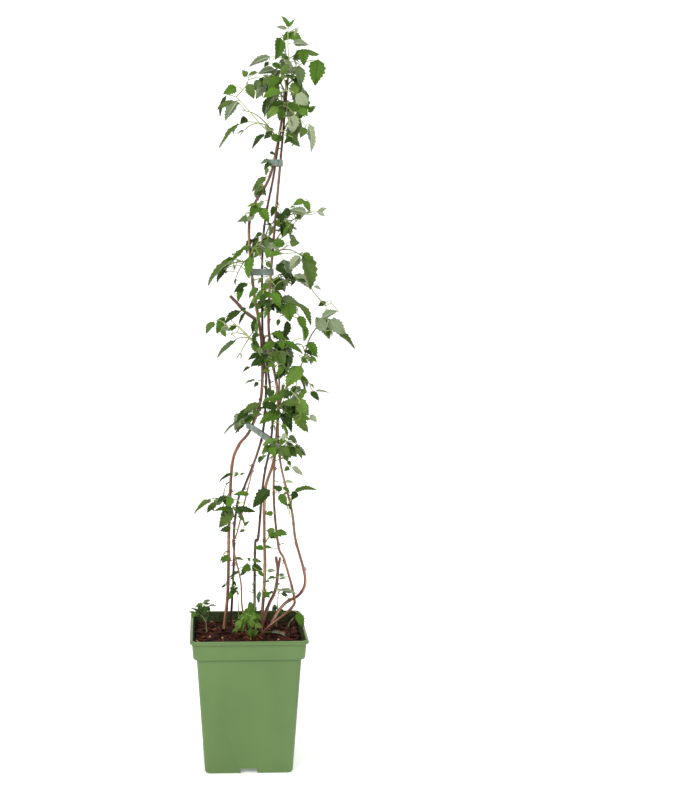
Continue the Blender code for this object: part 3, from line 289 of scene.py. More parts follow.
# Leaves that can be told apart in the photo: their piece, their depth in millimetres and the leaflets. Each
# leaflet has the pixels of its root and tip, how many pixels wide it shows (below zero where its underside
# shows) and its tone.
SEEN = (
    ("top", -4, (
        (288, 27, 281, 16, 4, "b"), (289, 27, 295, 19, 3, "b"), (287, 29, 276, 27, -3, "p"),
        (290, 33, 283, 41, 7, "m"), (289, 33, 303, 42, 8, "b"), (298, 29, 294, 36, -3, "p"),
        (293, 43, 309, 45, -6, "p"), (290, 58, 282, 60, 4, "m"),
    )),
    ("top", -12, (
        (280, 38, 275, 60, 11, "m"), (303, 50, 293, 60, 5, "d"), (303, 50, 304, 66, 10, "m"),
        (308, 53, 318, 56, 4, "m"), (318, 60, 315, 86, 15, "m"), (284, 60, 292, 75, -7, "g"),
        (270, 57, 249, 67, -6, "g"), (268, 62, 264, 67, 4, "d"), (275, 70, 258, 74, -7, "g"),
        (247, 76, 242, 70, 6, "b"), (257, 72, 248, 76, 3, "g"), (259, 80, 254, 91, 7, "g"),
        (248, 84, 254, 99, 9, "g"), (236, 87, 223, 94, 9, "b"), (226, 96, 220, 117, 4, "d"),
        (237, 101, 225, 121, -9, "g"), (232, 102, 217, 110, 5, "g"), (246, 118, 240, 124, 7, "d"),
        (238, 124, 219, 148, 4, "g"), (236, 126, 233, 135, 2, "g"), (264, 134, 252, 149, 5, "d"),
        (272, 131, 264, 139, 6, "d"), (271, 136, 283, 141, 7, "m"), (266, 124, 268, 131, -3, "p"),
        (270, 76, 263, 87, 5, "g"), (272, 64, 283, 70, 5, "m"),
    )),
    ("top", -34, (
        (299, 66, 300, 86, 10, "g"), (295, 82, 295, 97, 9, "b"), (296, 94, 308, 105, -11, "p"),
        (280, 91, 263, 98, 8, "b"), (279, 76, 268, 90, 7, "m"), (300, 108, 308, 116, 8, "b"),
        (308, 112, 316, 106, 5, "b"), (294, 115, 292, 133, -11, "p"), (305, 128, 300, 138, 8, "m"),
        (309, 124, 311, 152, -7, "p"), (286, 133, 300, 147, 9, "m"), (283, 103, 269, 110, 8, "m"),
        (278, 107, 267, 118, 8, "b"), (283, 108, 279, 121, 7, "m"), (289, 103, 298, 113, 7, "m"),
        (283, 76, 278, 86, 5, "m"), (288, 64, 281, 78, 7, "g"), (283, 136, 276, 140, 4, "d"),
        (292, 138, 284, 144, 5, "d"),
    )),
    ("upper", -8, (
        (270, 160, 260, 164, 4, "g"), (271, 162, 264, 170, 5, "d"), (268, 168, 266, 176, 4, "g"),
        (266, 177, 252, 192, 6, "g"), (266, 177, 260, 188, 3, "g"), (270, 152, 275, 155, 3, "d"),
        (257, 205, 250, 217, 9, "m"), (260, 208, 269, 223, 9, "b"), (254, 216, 244, 222, -5, "p"),
        (248, 220, 237, 222, 4, "g"), (262, 189, 254, 191, 3, "g"), (261, 193, 255, 195, 3, "d"),
        (263, 188, 266, 196, 4, "d"), (264, 201, 258, 209, -4, "p"), (256, 204, 247, 207, 3, "b"),
        (256, 203, 261, 209, 4, "b"), (262, 233, 255, 237, 4, "d"), (258, 240, 253, 246, 4, "d"),
        (268, 238, 266, 249, 4, "g"), (269, 248, 267, 259, 6, "b"), (254, 248, 261, 256, 6, "m"),
        (272, 224, 265, 225, 2, "d"),
    )),
    ("upper", -28, (
        (304, 200, 293, 205, 6, "b"), (304, 201, 310, 212, 6, "b"), (290, 211, 281, 214, 8, "d"),
        (306, 213, 290, 210, -6, "g"), (318, 212, 327, 208, -4, "p"), (318, 212, 325, 216, -4, "p"),
        (301, 215, 295, 219, 4, "d"), (283, 221, 284, 236, 5, "d"), (286, 222, 292, 229, 5, "m"),
        (285, 244, 270, 243, 8, "m"), (290, 242, 300, 243, 8, "m"), (300, 256, 290, 270, -9, "p"),
        (303, 254, 310, 290, 13, "m"), (304, 253, 312, 261, 6, "m"), (314, 286, 321, 290, -3, "p"),
        (274, 206, 271, 217, 5, "d"), (272, 227, 269, 237, 4, "g"), (283, 213, 280, 223, 5, "d"),
        (294, 206, 290, 208, 2, "g"), (281, 224, 281, 235, 4, "d"), (289, 226, 284, 236, 4, "m"),
        (288, 228, 293, 233, 3, "m"), (281, 253, 268, 257, 5, "b"), (270, 279, 264, 286, -4, "p"),
        (262, 278, 258, 284, 3, "g"), (276, 286, 283, 290, 7, "d"), (284, 281, 293, 285, 2, "m"),
        (288, 281, 297, 281, 2, "d"), (306, 282, 297, 279, 3, "d"), (266, 283, 264, 292, 6, "m"),
        (275, 291, 283, 299, 3, "d"),
    )),
    ("middle", -8, (
        (250, 247, 240, 250, 5, "m"), (243, 250, 231, 262, 5, "m"), (232, 262, 218, 270, 4, "g"),
        (229, 262, 208, 286, 4, "g"), (226, 270, 217, 283, 5, "d"), (250, 256, 249, 279, 9, "b"),
        (276, 268, 285, 264, 6, "d"), (276, 268, 288, 277, 6, "d"), (262, 249, 254, 258, 6, "m"),
        (266, 262, 272, 268, 5, "m"), (275, 279, 284, 287, 9, "d"), (248, 284, 234, 293, 5, "d"),
        (243, 288, 238, 302, 6, "m"), (240, 311, 225, 324, 6, "d"), (225, 318, 217, 334, 8, "m"),
        (214, 322, 206, 334, 7, "m"), (222, 330, 226, 337, 5, "m"), (237, 326, 228, 331, 5, "m"),
        (224, 317, 218, 322, 2, "m"), (246, 312, 239, 325, 3, "d"), (235, 341, 217, 358, 4, "g"),
    )),
    ("middle", -30, (
        (265, 291, 255, 300, 8, "b"), (268, 292, 262, 300, 7, "m"), (272, 292, 280, 308, 9, "b"),
        (265, 300, 270, 310, 8, "m"), (281, 299, 300, 305, 9, "g"), (288, 303, 290, 322, 14, "m"),
        (300, 304, 311, 326, 6, "m"), (299, 316, 305, 331, 8, "m"), (305, 326, 305, 341, 5, "m"),
        (287, 321, 282, 340, 7, "d"), (284, 338, 271, 333, 6, "m"), (285, 342, 303, 354, 6, "m"),
        (309, 342, 316, 357, 8, "m"), (281, 340, 283, 350, 6, "m"), (275, 343, 261, 350, 8, "m"),
        (262, 354, 248, 360, 6, "d"), (301, 358, 308, 363, 5, "m"), (310, 357, 317, 362, 4, "b"),
        (272, 360, 263, 362, 4, "b"), (275, 365, 265, 368, 4, "b"), (270, 370, 262, 372, 4, "b"),
        (264, 360, 254, 366, 6, "d"), (279, 352, 272, 362, 7, "m"), (258, 288, 249, 298, 6, "m"),
        (257, 297, 252, 307, 5, "b"), (263, 300, 257, 311, 5, "m"), (275, 300, 283, 307, 6, "m"),
        (263, 312, 257, 321, 4, "m"), (254, 303, 249, 309, 5, "d"), (246, 308, 240, 311, 3, "d"),
        (263, 294, 264, 308, 6, "d"), (270, 309, 264, 319, 4, "b"), (279, 319, 277, 326, 4, "d"),
        (256, 318, 253, 334, 5, "d"), (256, 332, 254, 346, 4, "d"), (257, 322, 258, 337, 4, "g"),
        (258, 349, 264, 353, 5, "g"), (258, 360, 251, 367, 5, "d"), (262, 360, 258, 367, 5, "d"),
        (276, 350, 279, 364, 6, "m"), (280, 352, 284, 366, 7, "m"), (289, 356, 290, 367, 4, "d"),
        (284, 366, 278, 377, 6, "m"), (268, 388, 271, 398, 5, "d"), (274, 390, 269, 399, 5, "d"),
        (270, 398, 262, 405, 5, "m"), (274, 398, 270, 408, 5, "g"), (279, 391, 289, 399, 7, "m"),
        (291, 391, 284, 399, 5, "d"), (296, 386, 290, 398, 5, "m"), (283, 384, 281, 392, 3, "g"),
    )),
    ("middle", -4, (
        (325, 331, 316, 317, -11, "g"), (322, 318, 338, 311, -8, "g"), (326, 302, 318, 306, 5, "d"),
        (329, 320, 346, 334, -13, "g"), (326, 326, 329, 337, 8, "m"), (334, 329, 355, 349, 6, "m"),
    )),
    ("low", -30, (
        (301, 366, 286, 388, 14, "b"), (285, 369, 275, 381, 7, "d"), (300, 376, 307, 382, 5, "m"),
        (316, 391, 329, 393, -2, "p"), (311, 392, 319, 401, 6, "d"), (307, 392, 299, 390, 5, "b"),
        (303, 392, 298, 402, 6, "b"), (298, 403, 280, 405, 8, "g"), (300, 398, 303, 418, 11, "b"),
        (296, 412, 305, 432, 12, "b"), (300, 421, 308, 433, 6, "g"), (310, 415, 317, 422, -6, "p"),
        (291, 417, 285, 414, 6, "d"), (280, 412, 259, 424, 11, "m"), (277, 408, 262, 406, 7, "d"),
        (283, 424, 286, 430, 5, "m"), (285, 433, 283, 441, -5, "p"), (289, 436, 297, 443, 5, "g"),
        (288, 389, 281, 398, 7, "m"), (282, 398, 266, 401, 7, "m"), (270, 402, 262, 409, 6, "d"),
        (290, 404, 286, 416, 6, "m"), (302, 416, 310, 420, 5, "m"),
    )),
    ("low", -12, (
        (259, 403, 243, 413, 7, "m"), (258, 410, 252, 417, 5, "b"), (247, 411, 237, 421, 7, "d"),
        (254, 417, 243, 425, 5, "m"), (239, 421, 224, 434, 2, "g"), (244, 425, 235, 434, 3, "d"),
        (250, 367, 243, 372, 3, "d"), (255, 380, 245, 384, 2, "g"), (258, 382, 254, 387, 4, "d"),
    )),
    ("low", -24, (
        (270, 446, 262, 452, 8, "m"), (272, 446, 274, 457, 8, "b"), (280, 446, 290, 458, 7, "m"),
        (285, 447, 297, 457, 8, "m"), (290, 447, 305, 455, 4, "d"), (276, 438, 273, 445, 5, "b"),
        (288, 461, 291, 466, 4, "m"), (289, 467, 284, 471, 5, "m"), (292, 467, 303, 476, -5, "p"),
        (284, 438, 280, 446, 6, "m"), (274, 440, 262, 446, 5, "b"), (268, 450, 276, 456, 5, "b"),
        (296, 448, 302, 459, 4, "m"), (285, 455, 288, 462, 5, "m"), (262, 456, 258, 462, 4, "d"),
    )),
    ("foot", -20, (
        (285, 482, 294, 483, -3, "p"), (295, 491, 317, 490, 5, "m"), (296, 492, 292, 500, 7, "d"),
        (280, 494, 287, 506, 8, "m"), (282, 490, 273, 486, 6, "d"), (283, 487, 290, 493, 4, "m"),
        (270, 490, 253, 508, 11, "d"), (273, 513, 265, 514, 5, "m"), (275, 530, 266, 531, 5, "m"),
        (276, 530, 281, 537, 5, "m"), (275, 534, 268, 536, 4, "m"), (277, 535, 274, 539, 4, "m"),
        (281, 533, 287, 534, 4, "m"), (236, 509, 256, 512, 6, "d"),
    )),
    ("foot", 4, (
        (233, 474, 219, 482, 3, "d"), (238, 473, 234, 477, 3, "m"), (240, 475, 245, 473, 2, "m"),
        (249, 494, 233, 495, 5, "b"), (231, 497, 228, 508, 8, "b"), (233, 509, 214, 511, 5, "m"),
        (233, 510, 219, 528, 12, "m"), (226, 499, 216, 502, 3, "d"), (216, 503, 207, 513, 6, "m"),
        (211, 501, 194, 514, 2.5, "g"), (230, 528, 220, 531, 6, "d"), (243, 520, 237, 516, 3, "m"),
        (244, 526, 250, 521, 3, "m"), (245, 530, 239, 532, 3, "m"),
    )),
    ("foot", -6, (
        (264, 548, 254, 548, 5, "m"), (264, 547, 272, 548, 3, "m"), (250, 566, 241, 571, 8, "m"),
        (252, 566, 263, 570, 8, "d"), (250, 560, 247, 558, 4, "b"), (267, 571, 276, 571, -4, "g"),
        (275, 577, 267, 580, 3, "m"), (279, 575, 285, 575, 3, "g"), (279, 579, 287, 578, 2, "g"),
        (268, 592, 265, 598, 6, "m"), (278, 590, 297, 594, -3, "p"), (282, 593, 288, 596, 4, "d"),
        (252, 560, 262, 562, 4, "m"), (246, 571, 240, 576, 4, "d"), (258, 571, 264, 577, 4, "m"),
        (270, 581, 262, 583, 2, "g"), (263, 592, 270, 598, 5, "m"), (260, 591, 259, 604, 4, "g"),
        (276, 585, 281, 584, 2, "g"),
    )),
    ("foot", 26, (
        (228, 555, 222, 563, 6, "m"), (234, 558, 244, 560, 3, "m"), (240, 571, 229, 578, 3, "d"),
        (234, 577, 230, 580, 2, "d"), (233, 581, 236, 586, 3, "d"), (232, 586, 233, 595, 3, "d"),
        (238, 587, 230, 594, 3, "d"), (236, 590, 228, 601, 5, "m"), (226, 585, 221, 588, 2, "d"),
        (203, 603, 211, 600, 3, "g"), (203, 604, 195, 607, 4, "g"), (204, 604, 211, 604, 2, "d"),
        (204, 606, 204, 616, 7, "d"), (209, 606, 217, 606, 2, "d"), (207, 606, 210, 612, 4, "d"),
        (202, 606, 197, 612, 5, "d"), (195, 613, 188, 612, 2, "m"), (195, 612, 192, 618, 4, "m"),
        (196, 613, 197, 617, 3, "m"), (297, 613, 303, 628, 8, "m"), (272, 632, 286, 636, -3, "p"),
        (276, 611, 272, 607, 2, "d"), (280, 610, 285, 615, 5, "g"),
    )),
    ("foot", -30, (
        (252, 613, 249, 602, 6, "m"), (249, 616, 243, 619, 5, "b"), (250, 615, 254, 611, 4, "b"),
        (251, 616, 257, 618, 6, "b"), (252, 618, 259, 628, 7, "b"), (250, 618, 253, 628, 6, "b"),
        (256, 614, 261, 620, 5, "m"), (246, 616, 240, 620, 5, "b"), (241, 620, 236, 633, 6, "b"),
        (242, 622, 242, 632, 5, "b"), (238, 626, 235, 630, 4, "m"), (256, 624, 262, 628, 5, "m"),
        (250, 628, 251, 638, 4, "m"), (255, 630, 254, 638, 3, "d"),
    )),
)

# Stems that can be told apart in the photo: their piece, their depth in millimetres, and the pixels of each
# from where it grows.
SEEN_STEMS = (
    ("top", -8, (
        ((289, 66), (289, 58), (288, 48), (288, 32), (288, 27)),
        ((289, 74), (298, 66), (308, 61), (318, 60)),
        ((268, 131), (262, 126), (250, 112), (241, 102), (236, 97), (229, 95)),
        ((268, 131), (258, 123), (247, 122), (238, 125)),
    )),
    ("upper", -10, (
        ((276, 244), (290, 228), (305, 213), (318, 211)),
        ((281, 250), (289, 245)),
        ((268, 256), (280, 254), (297, 253), (303, 256)),
    )),
    ("middle", -8, (
        ((255, 280), (250, 275), (243, 268), (236, 265), (222, 270)),
        ((254, 342), (244, 333), (231, 320), (226, 316)),
        ((252, 340), (238, 326), (228, 326)),
        ((324, 331), (328, 322), (326, 306), (331, 303), (339, 312)),
    )),
    ("foot", 2, (
        ((240, 503), (238, 500), (226, 499), (216, 502)),
        ((290, 517), (289, 505), (293, 495), (300, 491)),
    )),
)

# Stretches where the leaves stand too close to be told apart, in pixels: left, top, right and bottom.
DENSE = (
    (262, 78, 270, 88), (264, 102, 276, 114), (290, 68, 300, 82), (290, 122, 300, 136),
    (252, 358, 264, 368), (270, 350, 284, 366), (279, 388, 294, 400), (274, 298, 298, 312),
    (284, 406, 302, 430),
)
DENSE_DEPTH = -0.060
CELL = 2.0  # pixels
FAR = 1.0  # deeper than any leaf
NEARER = 0.001  # how far before a seen leaf another may come
INSIDE_SHARE = 0.84  # of a leaflet's points
JOINT_REACH = 5  # pixels
DEPTH_SPREAD = 0.008
CROWN_MIDDLE = 0.035
SEEN_TRIES = 9
SEEN_STEP = 0.004  # how much nearer each try is
SEEN_FORWARD = (-0.25, 0.45)
SEEN_CURL = (12, 42)
NARROW_CURL = (18, 44)
NARROW = 0.3  # the width that shows for its length, below which a leaflet is seen from its side
NARROW_WIDTH = 0.65
FACING_WIDTH = 0.92  # what shows of a folded leaflet's width from straight before it
OUTWARD = 0.4  # how much a leaflet seen from its side turns out of the crown and not up
STEM_SPACING = 0.006
UPHILL_COST = 0.7  # what a stalk's start counts for being above its leaflet
WOOD_SPACING = 0.004

# Finishes of the seen leaves by their tone: bright, middle, dark or grey green above, pale or grey below.
SEEN_TONES = {
    "b": ("leaf_bright", "leaf_bright", "leaf_fresh"), "m": ("leaf_mid", "leaf_mid", "leaf_olive"),
    "d": ("leaf_dark",), "g": ("leaf_grey", "leaf_olive"),
}
UNDER_TONES = {"p": "under_pale", "g": "under_grey"}
UNDERSIDES = ("under_pale", "under_grey", "under_grey", "under_green")

# How often a spray of each shade takes each leaf colour.
LEAF_COLOURS = ("leaf_mid", "leaf_dark", "leaf_bright", "leaf_fresh", "leaf_grey")
SHADES = {
    "common": (5, 4, 3, 1, 0.6),
    "dark": (4, 7, 1, 0, 0.5),
    "bright": (3, 1, 5, 4, 0.5),
    "grey": (4, 2, 2, 1, 4),
}
SHADE_OF = {
    "front_sprig": "bright", "green_sucker": "bright", "low_right": "bright", "below_tie": "bright",
    "upper_right": "grey", "neck": "grey", "far_left": "grey",
    # Painted shade: the low sprigs at the back and the left edge, under the crown, take the dark leaf
    # colours.
    "edge_sprig": "dark", "back_sucker": "dark", "left_sucker": "dark",
}

# Bark colours: dark, middle and pale, and the tint that they take towards the top of the plant.
BARKS = {
    "bark_red": ((0.055, 0.016, 0.008), (0.200, 0.072, 0.032), (0.50, 0.30, 0.18), (0.62, 0.62, 0.48)),
    "bark_pink": ((0.070, 0.026, 0.014), (0.235, 0.102, 0.052), (0.56, 0.37, 0.23), (0.55, 0.55, 0.42)),
    "bark_dark": ((0.035, 0.014, 0.012), (0.085, 0.034, 0.026), (0.22, 0.12, 0.09), (0.9, 0.9, 0.8)),
    "bark_stub": ((0.06, 0.022, 0.018), (0.19, 0.075, 0.052), (0.42, 0.26, 0.18), (0.6, 0.6, 0.6)),
}
POT_GREENS = ((0.074, 0.140, 0.034), (0.085, 0.156, 0.038), (0.097, 0.170, 0.046))

# Compost, painted shade for the pot's inside, and bark chips.
EARTHY = {
    "compost": (0.016, 0.006, 0.004),
    "pot_inside_painted_shade": (0.040, 0.052, 0.018),
    "chip_dark": (0.018, 0.006, 0.004),
    "chip_red": (0.062, 0.014, 0.007),
    "chip_brown": (0.044, 0.017, 0.009),
    "chip_orange": (0.25, 0.065, 0.022),
    "chip_tan": (0.42, 0.22, 0.11),
}

# Relief of the canes: depths as shares of the radius, and lengths in metres.
BARK_SHARE = 0.96  # a cane's mean radius against the solid's
RIDGE_DEPTH, FINE_DEPTH = 0.055, 0.030
NODE_LENGTH, NODE_SWELL, NODE_KNOB = 0.0030, 0.09, 0.20
GROOVE_AT, GROOVE_LENGTH, GROOVE_DEPTH = 0.0042, 0.0010, 0.05
BARK_SCALE = 100  # of the bark's pattern along a cane
FIRST_NODE, NODE_GAP = (0.02, 0.04), (0.026, 0.046)
SPIRAL = 137.5  # degrees round from one bud or leaf to the next
BUD_SHAPE = (0.45, 0.95, 1.0, 0.62, 0.12)
BUD_LENGTH, BUD_WIDTH_SHARE = (0.0018, 0.0042), 0.55
SPUR_CHANCE, SPUR_LENGTH, SPUR_RADII = 0.45, (0.003, 0.009), (0.0010, 0.0007, 0.0005)
PRICKLES_A_METRE, PRICKLE_LENGTH, PRICKLE_RADII = 60, (0.0007, 0.0015), (0.00028, 0.00006)

# Shape of a leaflet one long and one in half width.
RISE_POWER, FALL_POWER = 0.55, 1.08
MIDRIB_REACH, VEIN_START, VEIN_SLANT = 0.93, 0.035, 0.13
TOOTH_SPREAD, DIP_SPREAD, TOOTH_FORWARD = 1.10, 0.87, 0.016
PLEAT, RIB_SINK, BLADE_THICKNESS = 0.032, 0.012, 0.010
LARGE_LEAF_LENGTH = 0.017
BEND_STEPS, BEND_PARTS = 32, 12
WAVE, WAVE_TURNS, PUCKER, PUCKER_TURNS = (0.01, 0.035), 9, 0.06, 11
TESTED_BLADE = ((0.10, 0.3), (0.36, 0.9), (0.72, 0.6), (0.96, 0.1))  # shares of its length and width
CHECKED_LENGTHS, CHECKED_SIDES = (0.15, 0.4, 0.65, 0.95), (-0.85, 0, 0.85)

# How the leaves sit on their twigs: angles in degrees, and sizes as shares.
LEAF_BEARING, LEAF_RISE, LEAF_DROOP = (45, 95), (-25, 42), (25, 84)
LEAF_SIZE, STALK_LENGTH, STALK_SAG = (0.62, 1.02), (0.42, 0.75), 0.10
STALK_TAPER = (1.5, 1.15, 1, 0.95, 0.8)
FIVE_LENGTH, FIVE_CHANCE = 0.029, 0.45  # when a leaf has five leaflets and not three
SECOND_PAIR_SHARE, SECOND_PAIR_AT = 0.72, 0.48
END_YAW, SIDE_YAW, SIDE_FALL = (-14, 14), (50, 80), (0.4, 0.8)
LEAFLET_CURL, ROLL_SPREAD = (8, 62), 34
FORK_STEP = 0.12
FULLER = 0.75  # leaves added, as a share of the solid's own
NEW_TONE_CHANCE = 0.4
TUFT_SIZE = 0.010
STALK_STEPS, SHORTEST_STALK, LONG_STALK = 8, 0.0008, 0.04
THICK_END, THIN_END = 1.2, 0.8

# The compost and the bark chips on it, in metres.
SOIL_HALF = BAND_BOTTOM_HALF - POT_WALL - 0.0004
SOIL_STEPS, SOIL_SINK, SKIRT_DEPTH = 90, 0.0012, 0.008
SWELL_HEIGHT, GRAIN_HEIGHT = 0.0022, 0.0010
CHIPS = [name for name in EARTHY if name.startswith("chip_")]
CHIP_COUNT, CHIP_LENGTH, CHIP_THICKNESS = 2300, (0.0045, 0.0170), (0.0007, 0.0021)
LONG_CHANCE, LONG_SHARE, SHORT_SHARE = 0.12, 1.5, 0.85
CHIP_LAYERS, LAYER_HEIGHT, CHIP_RISE = (0, 0, 0, 1, 1, 2), 0.0011, 0.0006
MORE_PALE, FEW_PALE, PALE_FRONT = 0.16, 0.05, -0.02  # more pale chips at the left in front
HEAP_HEIGHT, HEAP_REACH = 0.0016, 0.012  # chips pushed up round the canes

# Values for the finishes, and the numbers of a colour mix node's sockets.
WHITE = (1, 1, 1)
DULL = 0.12
MIX_FACTOR, MIX_A, MIX_B, MIX_RESULT = 0, 6, 7, 2

# The backdrop and the lamps: name, place, size, power and the point that each is aimed at.
FLOOR_FRONT, FLOOR_BACK, FLOOR_HALF, FLOOR_SINK = -6.0, 2.2, 9, 0.0002
COVE_RADIUS, COVE_STEPS, BACKDROP_TOP = 1.6, 12, 7.0
LAMPS = (
    ("key", (-1.6, -2.4, 2.3), 1.3, 84, (0.02, 0, 0.6)),
    ("fill", (2.2, -1.9, 1.4), 1.8, 26, (0.02, 0, 0.5)),
    ("rear", (0.6, 2.0, 2.4), 1.4, 30, (0.02, 0, 0.7)),
)
WORLD_STRENGTH = 0.64


def scene_object(name, data):
    """A new object in the scene."""
    obj = bpy.data.objects.new(name, data)
    bpy.context.scene.collection.objects.link(obj)
    return obj


class Pile:
    """Points and triangles gathered for one joined piece."""

    def __init__(self):
        self.points, self.faces, self.finish, self.place = [], [], [], []
        self.total = 0

    def add(self, points, faces, finish, place=None):
        """Adds triangles, with a finish for all or for each, and each point's place on the bark."""
        points = np.asarray(points, float)
        faces = np.asarray(faces, int)
        self.points.append(points)
        self.faces.append(faces + self.total)
        self.finish.append(np.broadcast_to(np.asarray(finish, int), (len(faces),)))
        self.place.append(np.zeros_like(points) if place is None else np.asarray(place, float))
        self.total += len(points)

    def build(self, name, materials, sharp=50):
        """Makes the piece, with its shading rounded up to an angle in degrees."""
        points = np.concatenate(self.points).astype(np.float32)
        faces = np.concatenate(self.faces).astype(np.int32)
        finish = np.concatenate(self.finish).astype(np.int32)
        used = np.unique(finish)
        index = np.zeros(used.max() + 1, np.int32)
        index[used] = np.arange(len(used))
        mesh = bpy.data.meshes.new(name)
        mesh.vertices.add(len(points))
        mesh.vertices.foreach_set("co", points.ravel())
        mesh.loops.add(len(faces) * 3)
        mesh.loops.foreach_set("vertex_index", faces.ravel())
        mesh.polygons.add(len(faces))
        mesh.polygons.foreach_set("loop_start", np.arange(0, len(faces) * 3, 3, dtype=np.int32))
        for number in used:
            mesh.materials.append(materials[number])
        mesh.polygons.foreach_set("material_index", index[finish])
        mesh.update(calc_edges=True)
        place = np.concatenate(self.place).astype(np.float32)
        if place.any():
            attribute = mesh.attributes.new("place", "FLOAT_VECTOR", "POINT")
            attribute.data.foreach_set("vector", place.ravel())
        mesh.validate()
        mesh.shade_smooth()
        mesh.set_sharp_from_angle(angle=math.radians(sharp))
        return scene_object(name, mesh)


def carry(piece, slot, *nodes):
    """Rides a finished piece on the plant's one body, in place of the solids that it stands for."""
    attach(piece, "root")
    if nodes:
        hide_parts(*nodes)
    return piece


def smooth_path(points, spacing):
    """Points about `spacing` apart on a curve through `points`. The first and last stretches are straight."""
    points = [Vector(p) for p in points]
    padded = [points[0] * 2 - points[1], *points, points[-1] * 2 - points[-2]]
    path = [points[0]]
    for before, start, end, after in zip(padded, padded[1:], padded[2:], padded[3:]):
        steps = max(1, round((end - start).length / spacing))
        for step in range(1, steps + 1):
            t = step / steps
            path.append(
                0.5 * (
                    2 * start
                    + (end - before) * t
                    + (2 * before - 5 * start + 4 * end - after) * t * t
                    + (3 * start - before - 3 * end + after) * t * t * t
                )
            )
    return path


def cane_line(name, spacing):
    """The points of a whole cane and its radius at each."""
    points = [Vector(p) * MM for p in CANES[name][0]]
    foot = points[0] + UP * GAP
    path = [foot, *smooth_path([foot + UP * STRAIGHT_FOOT, *points[1:]], spacing)]
    thick, thin = (d / 2 * MM for d in CANES[name][1])
    low, high = path[0].z, path[-1].z
    radii = []
    for p in path:
        share = (p.z - low) / (high - low)
        flare = (FLARE - 1) * max(0, 1 - (p.z - low) / FLARE_HEIGHT) ** 2
        radii.append((thick + (thin - thick) * share) * (1 + flare))
    return path, radii


def at_height(path, values, height):
    """The point and the value where a rising path passes a height."""
    for a, b, value_a, value_b in zip(path, path[1:], values, values[1:]):
        if a.z <= height <= b.z:
            t = (height - a.z) / (b.z - a.z)
            return a.lerp(b, t), value_a + (value_b - value_a) * t
    return path[-1].copy(), values[-1]


def carried_frames(path):
    """Two unit vectors across a path at each point, turned along it without twisting."""
    path = np.asarray(path, float)
    heading = np.gradient(path, axis=0)
    heading /= np.linalg.norm(heading, axis=1)[:, None]
    first = np.cross(heading[0], (0.0, 1.0, 0.02))
    if np.linalg.norm(first) < PARALLEL:
        first = np.cross(heading[0], (1.0, 0.0, 0.0))
    across = np.zeros_like(path)
    for i, ahead in enumerate(heading):
        first = first - ahead * np.dot(first, ahead)
        first /= np.linalg.norm(first)
        across[i] = first
    return across, np.cross(heading, across), heading


def tube_mesh(path, radii, sides, dome=0.5):
    """Rings of points round a path and the triangles between them, with a radius for each ring or point."""
    path = np.asarray([tuple(p) for p in path], float)
    radii = np.asarray(radii, float)
    if radii.ndim == 1:
        radii = np.repeat(radii[:, None], sides, axis=1)
    u, v, heading = carried_frames(path)
    turn = (np.arange(sides) * 2 * math.pi / sides)[None, :, None]
    rings = path[:, None] + radii[:, :, None] * (u[:, None] * np.cos(turn) + v[:, None] * np.sin(turn))
    ends = [
        path[0] - heading[0] * radii[0].mean() * dome,
        path[-1] + heading[-1] * radii[-1].mean() * dome,
    ]
    points = np.concatenate([rings.reshape(-1, 3), ends])
    faces = []
    near = np.arange(sides)
    far = (near + 1) % sides
    for ring in range(len(path) - 1):
        a, b = near + ring * sides, far + ring * sides
        faces.append(np.stack([a, b, b + sides], 1))
        faces.append(np.stack([a, b + sides, a + sides], 1))
    last = (len(path) - 1) * sides
    start, end = len(points) - 2, len(points) - 1
    faces.append(np.stack([far, near, np.full(sides, start)], 1))
    faces.append(np.stack([near + last, far + last, np.full(sides, end)], 1))
    return points, np.concatenate(faces)


def even_taper(line, thick, thin):
    """A radius for each point of a line, from thick to thin."""
    steps = len(line) - 1
    return [thick + (thin - thick) * i / steps for i in range(steps + 1)]


def cane_mesh(name, path, radii, node_spots, knobbly=1.0):
    """A cane's surface with its relief: swollen nodes, lengthwise ridges and a fine unevenness."""
    path = np.asarray([tuple(p) for p in path], float)
    steps = np.linalg.norm(np.diff(path, axis=0), axis=1)
    run = np.concatenate([[0], np.cumsum(steps)])
    turn = np.arange(CANE_SIDES) * 2 * math.pi / CANE_SIDES
    relief = np.ones((len(path), CANE_SIDES))
    offset = random.Random(name).uniform(0, 50)
    for i, distance in enumerate(run):
        for j, angle in enumerate(turn):
            c, s = math.cos(angle), math.sin(angle)
            ridge = noise.noise(Vector((c * 2.2 + offset, s * 2.2, distance * 28)))
            fine = noise.noise(Vector((c * 5 + offset, s * 5, distance * 240)))
            relief[i, j] += RIDGE_DEPTH * ridge + FINE_DEPTH * fine
    for distance, angle in node_spots:
        bump = np.exp(-(((run - distance) / NODE_LENGTH) ** 2))
        facing = 0.5 + 0.5 * np.cos(turn - angle)
        relief += knobbly * bump[:, None] * (NODE_SWELL + NODE_KNOB * facing[None, :] ** 2)
        groove = np.exp(-(((run - distance - GROOVE_AT) / GROOVE_LENGTH) ** 2))
        relief -= GROOVE_DEPTH * groove[:, None]
    points, faces = tube_mesh(path, np.asarray(radii)[:, None] * relief * BARK_SHARE, CANE_SIDES, dome=0.1)
    place = [(math.cos(a) + offset, math.sin(a), d * BARK_SCALE) for d in run for a in turn]
    place += [(offset, 0, 0), (offset, 0, run[-1] * BARK_SCALE)]
    return points, faces, place


def bud_mesh(root, axis, length):
    """A small pointed bud along an axis."""
    axis = axis.normalized()
    steps = len(BUD_SHAPE) - 1
    path = [root + axis * length * i / steps for i in range(steps + 1)]
    return tube_mesh(path, [length * BUD_WIDTH_SHARE / 2 * share for share in BUD_SHAPE], 6, dome=0.3)


def direction(azimuth, elevation=0):
    """A unit vector at an angle round the plant and an angle above level."""
    level = math.cos(elevation)
    return Vector((math.cos(azimuth) * level, math.sin(azimuth) * level, math.sin(elevation)))


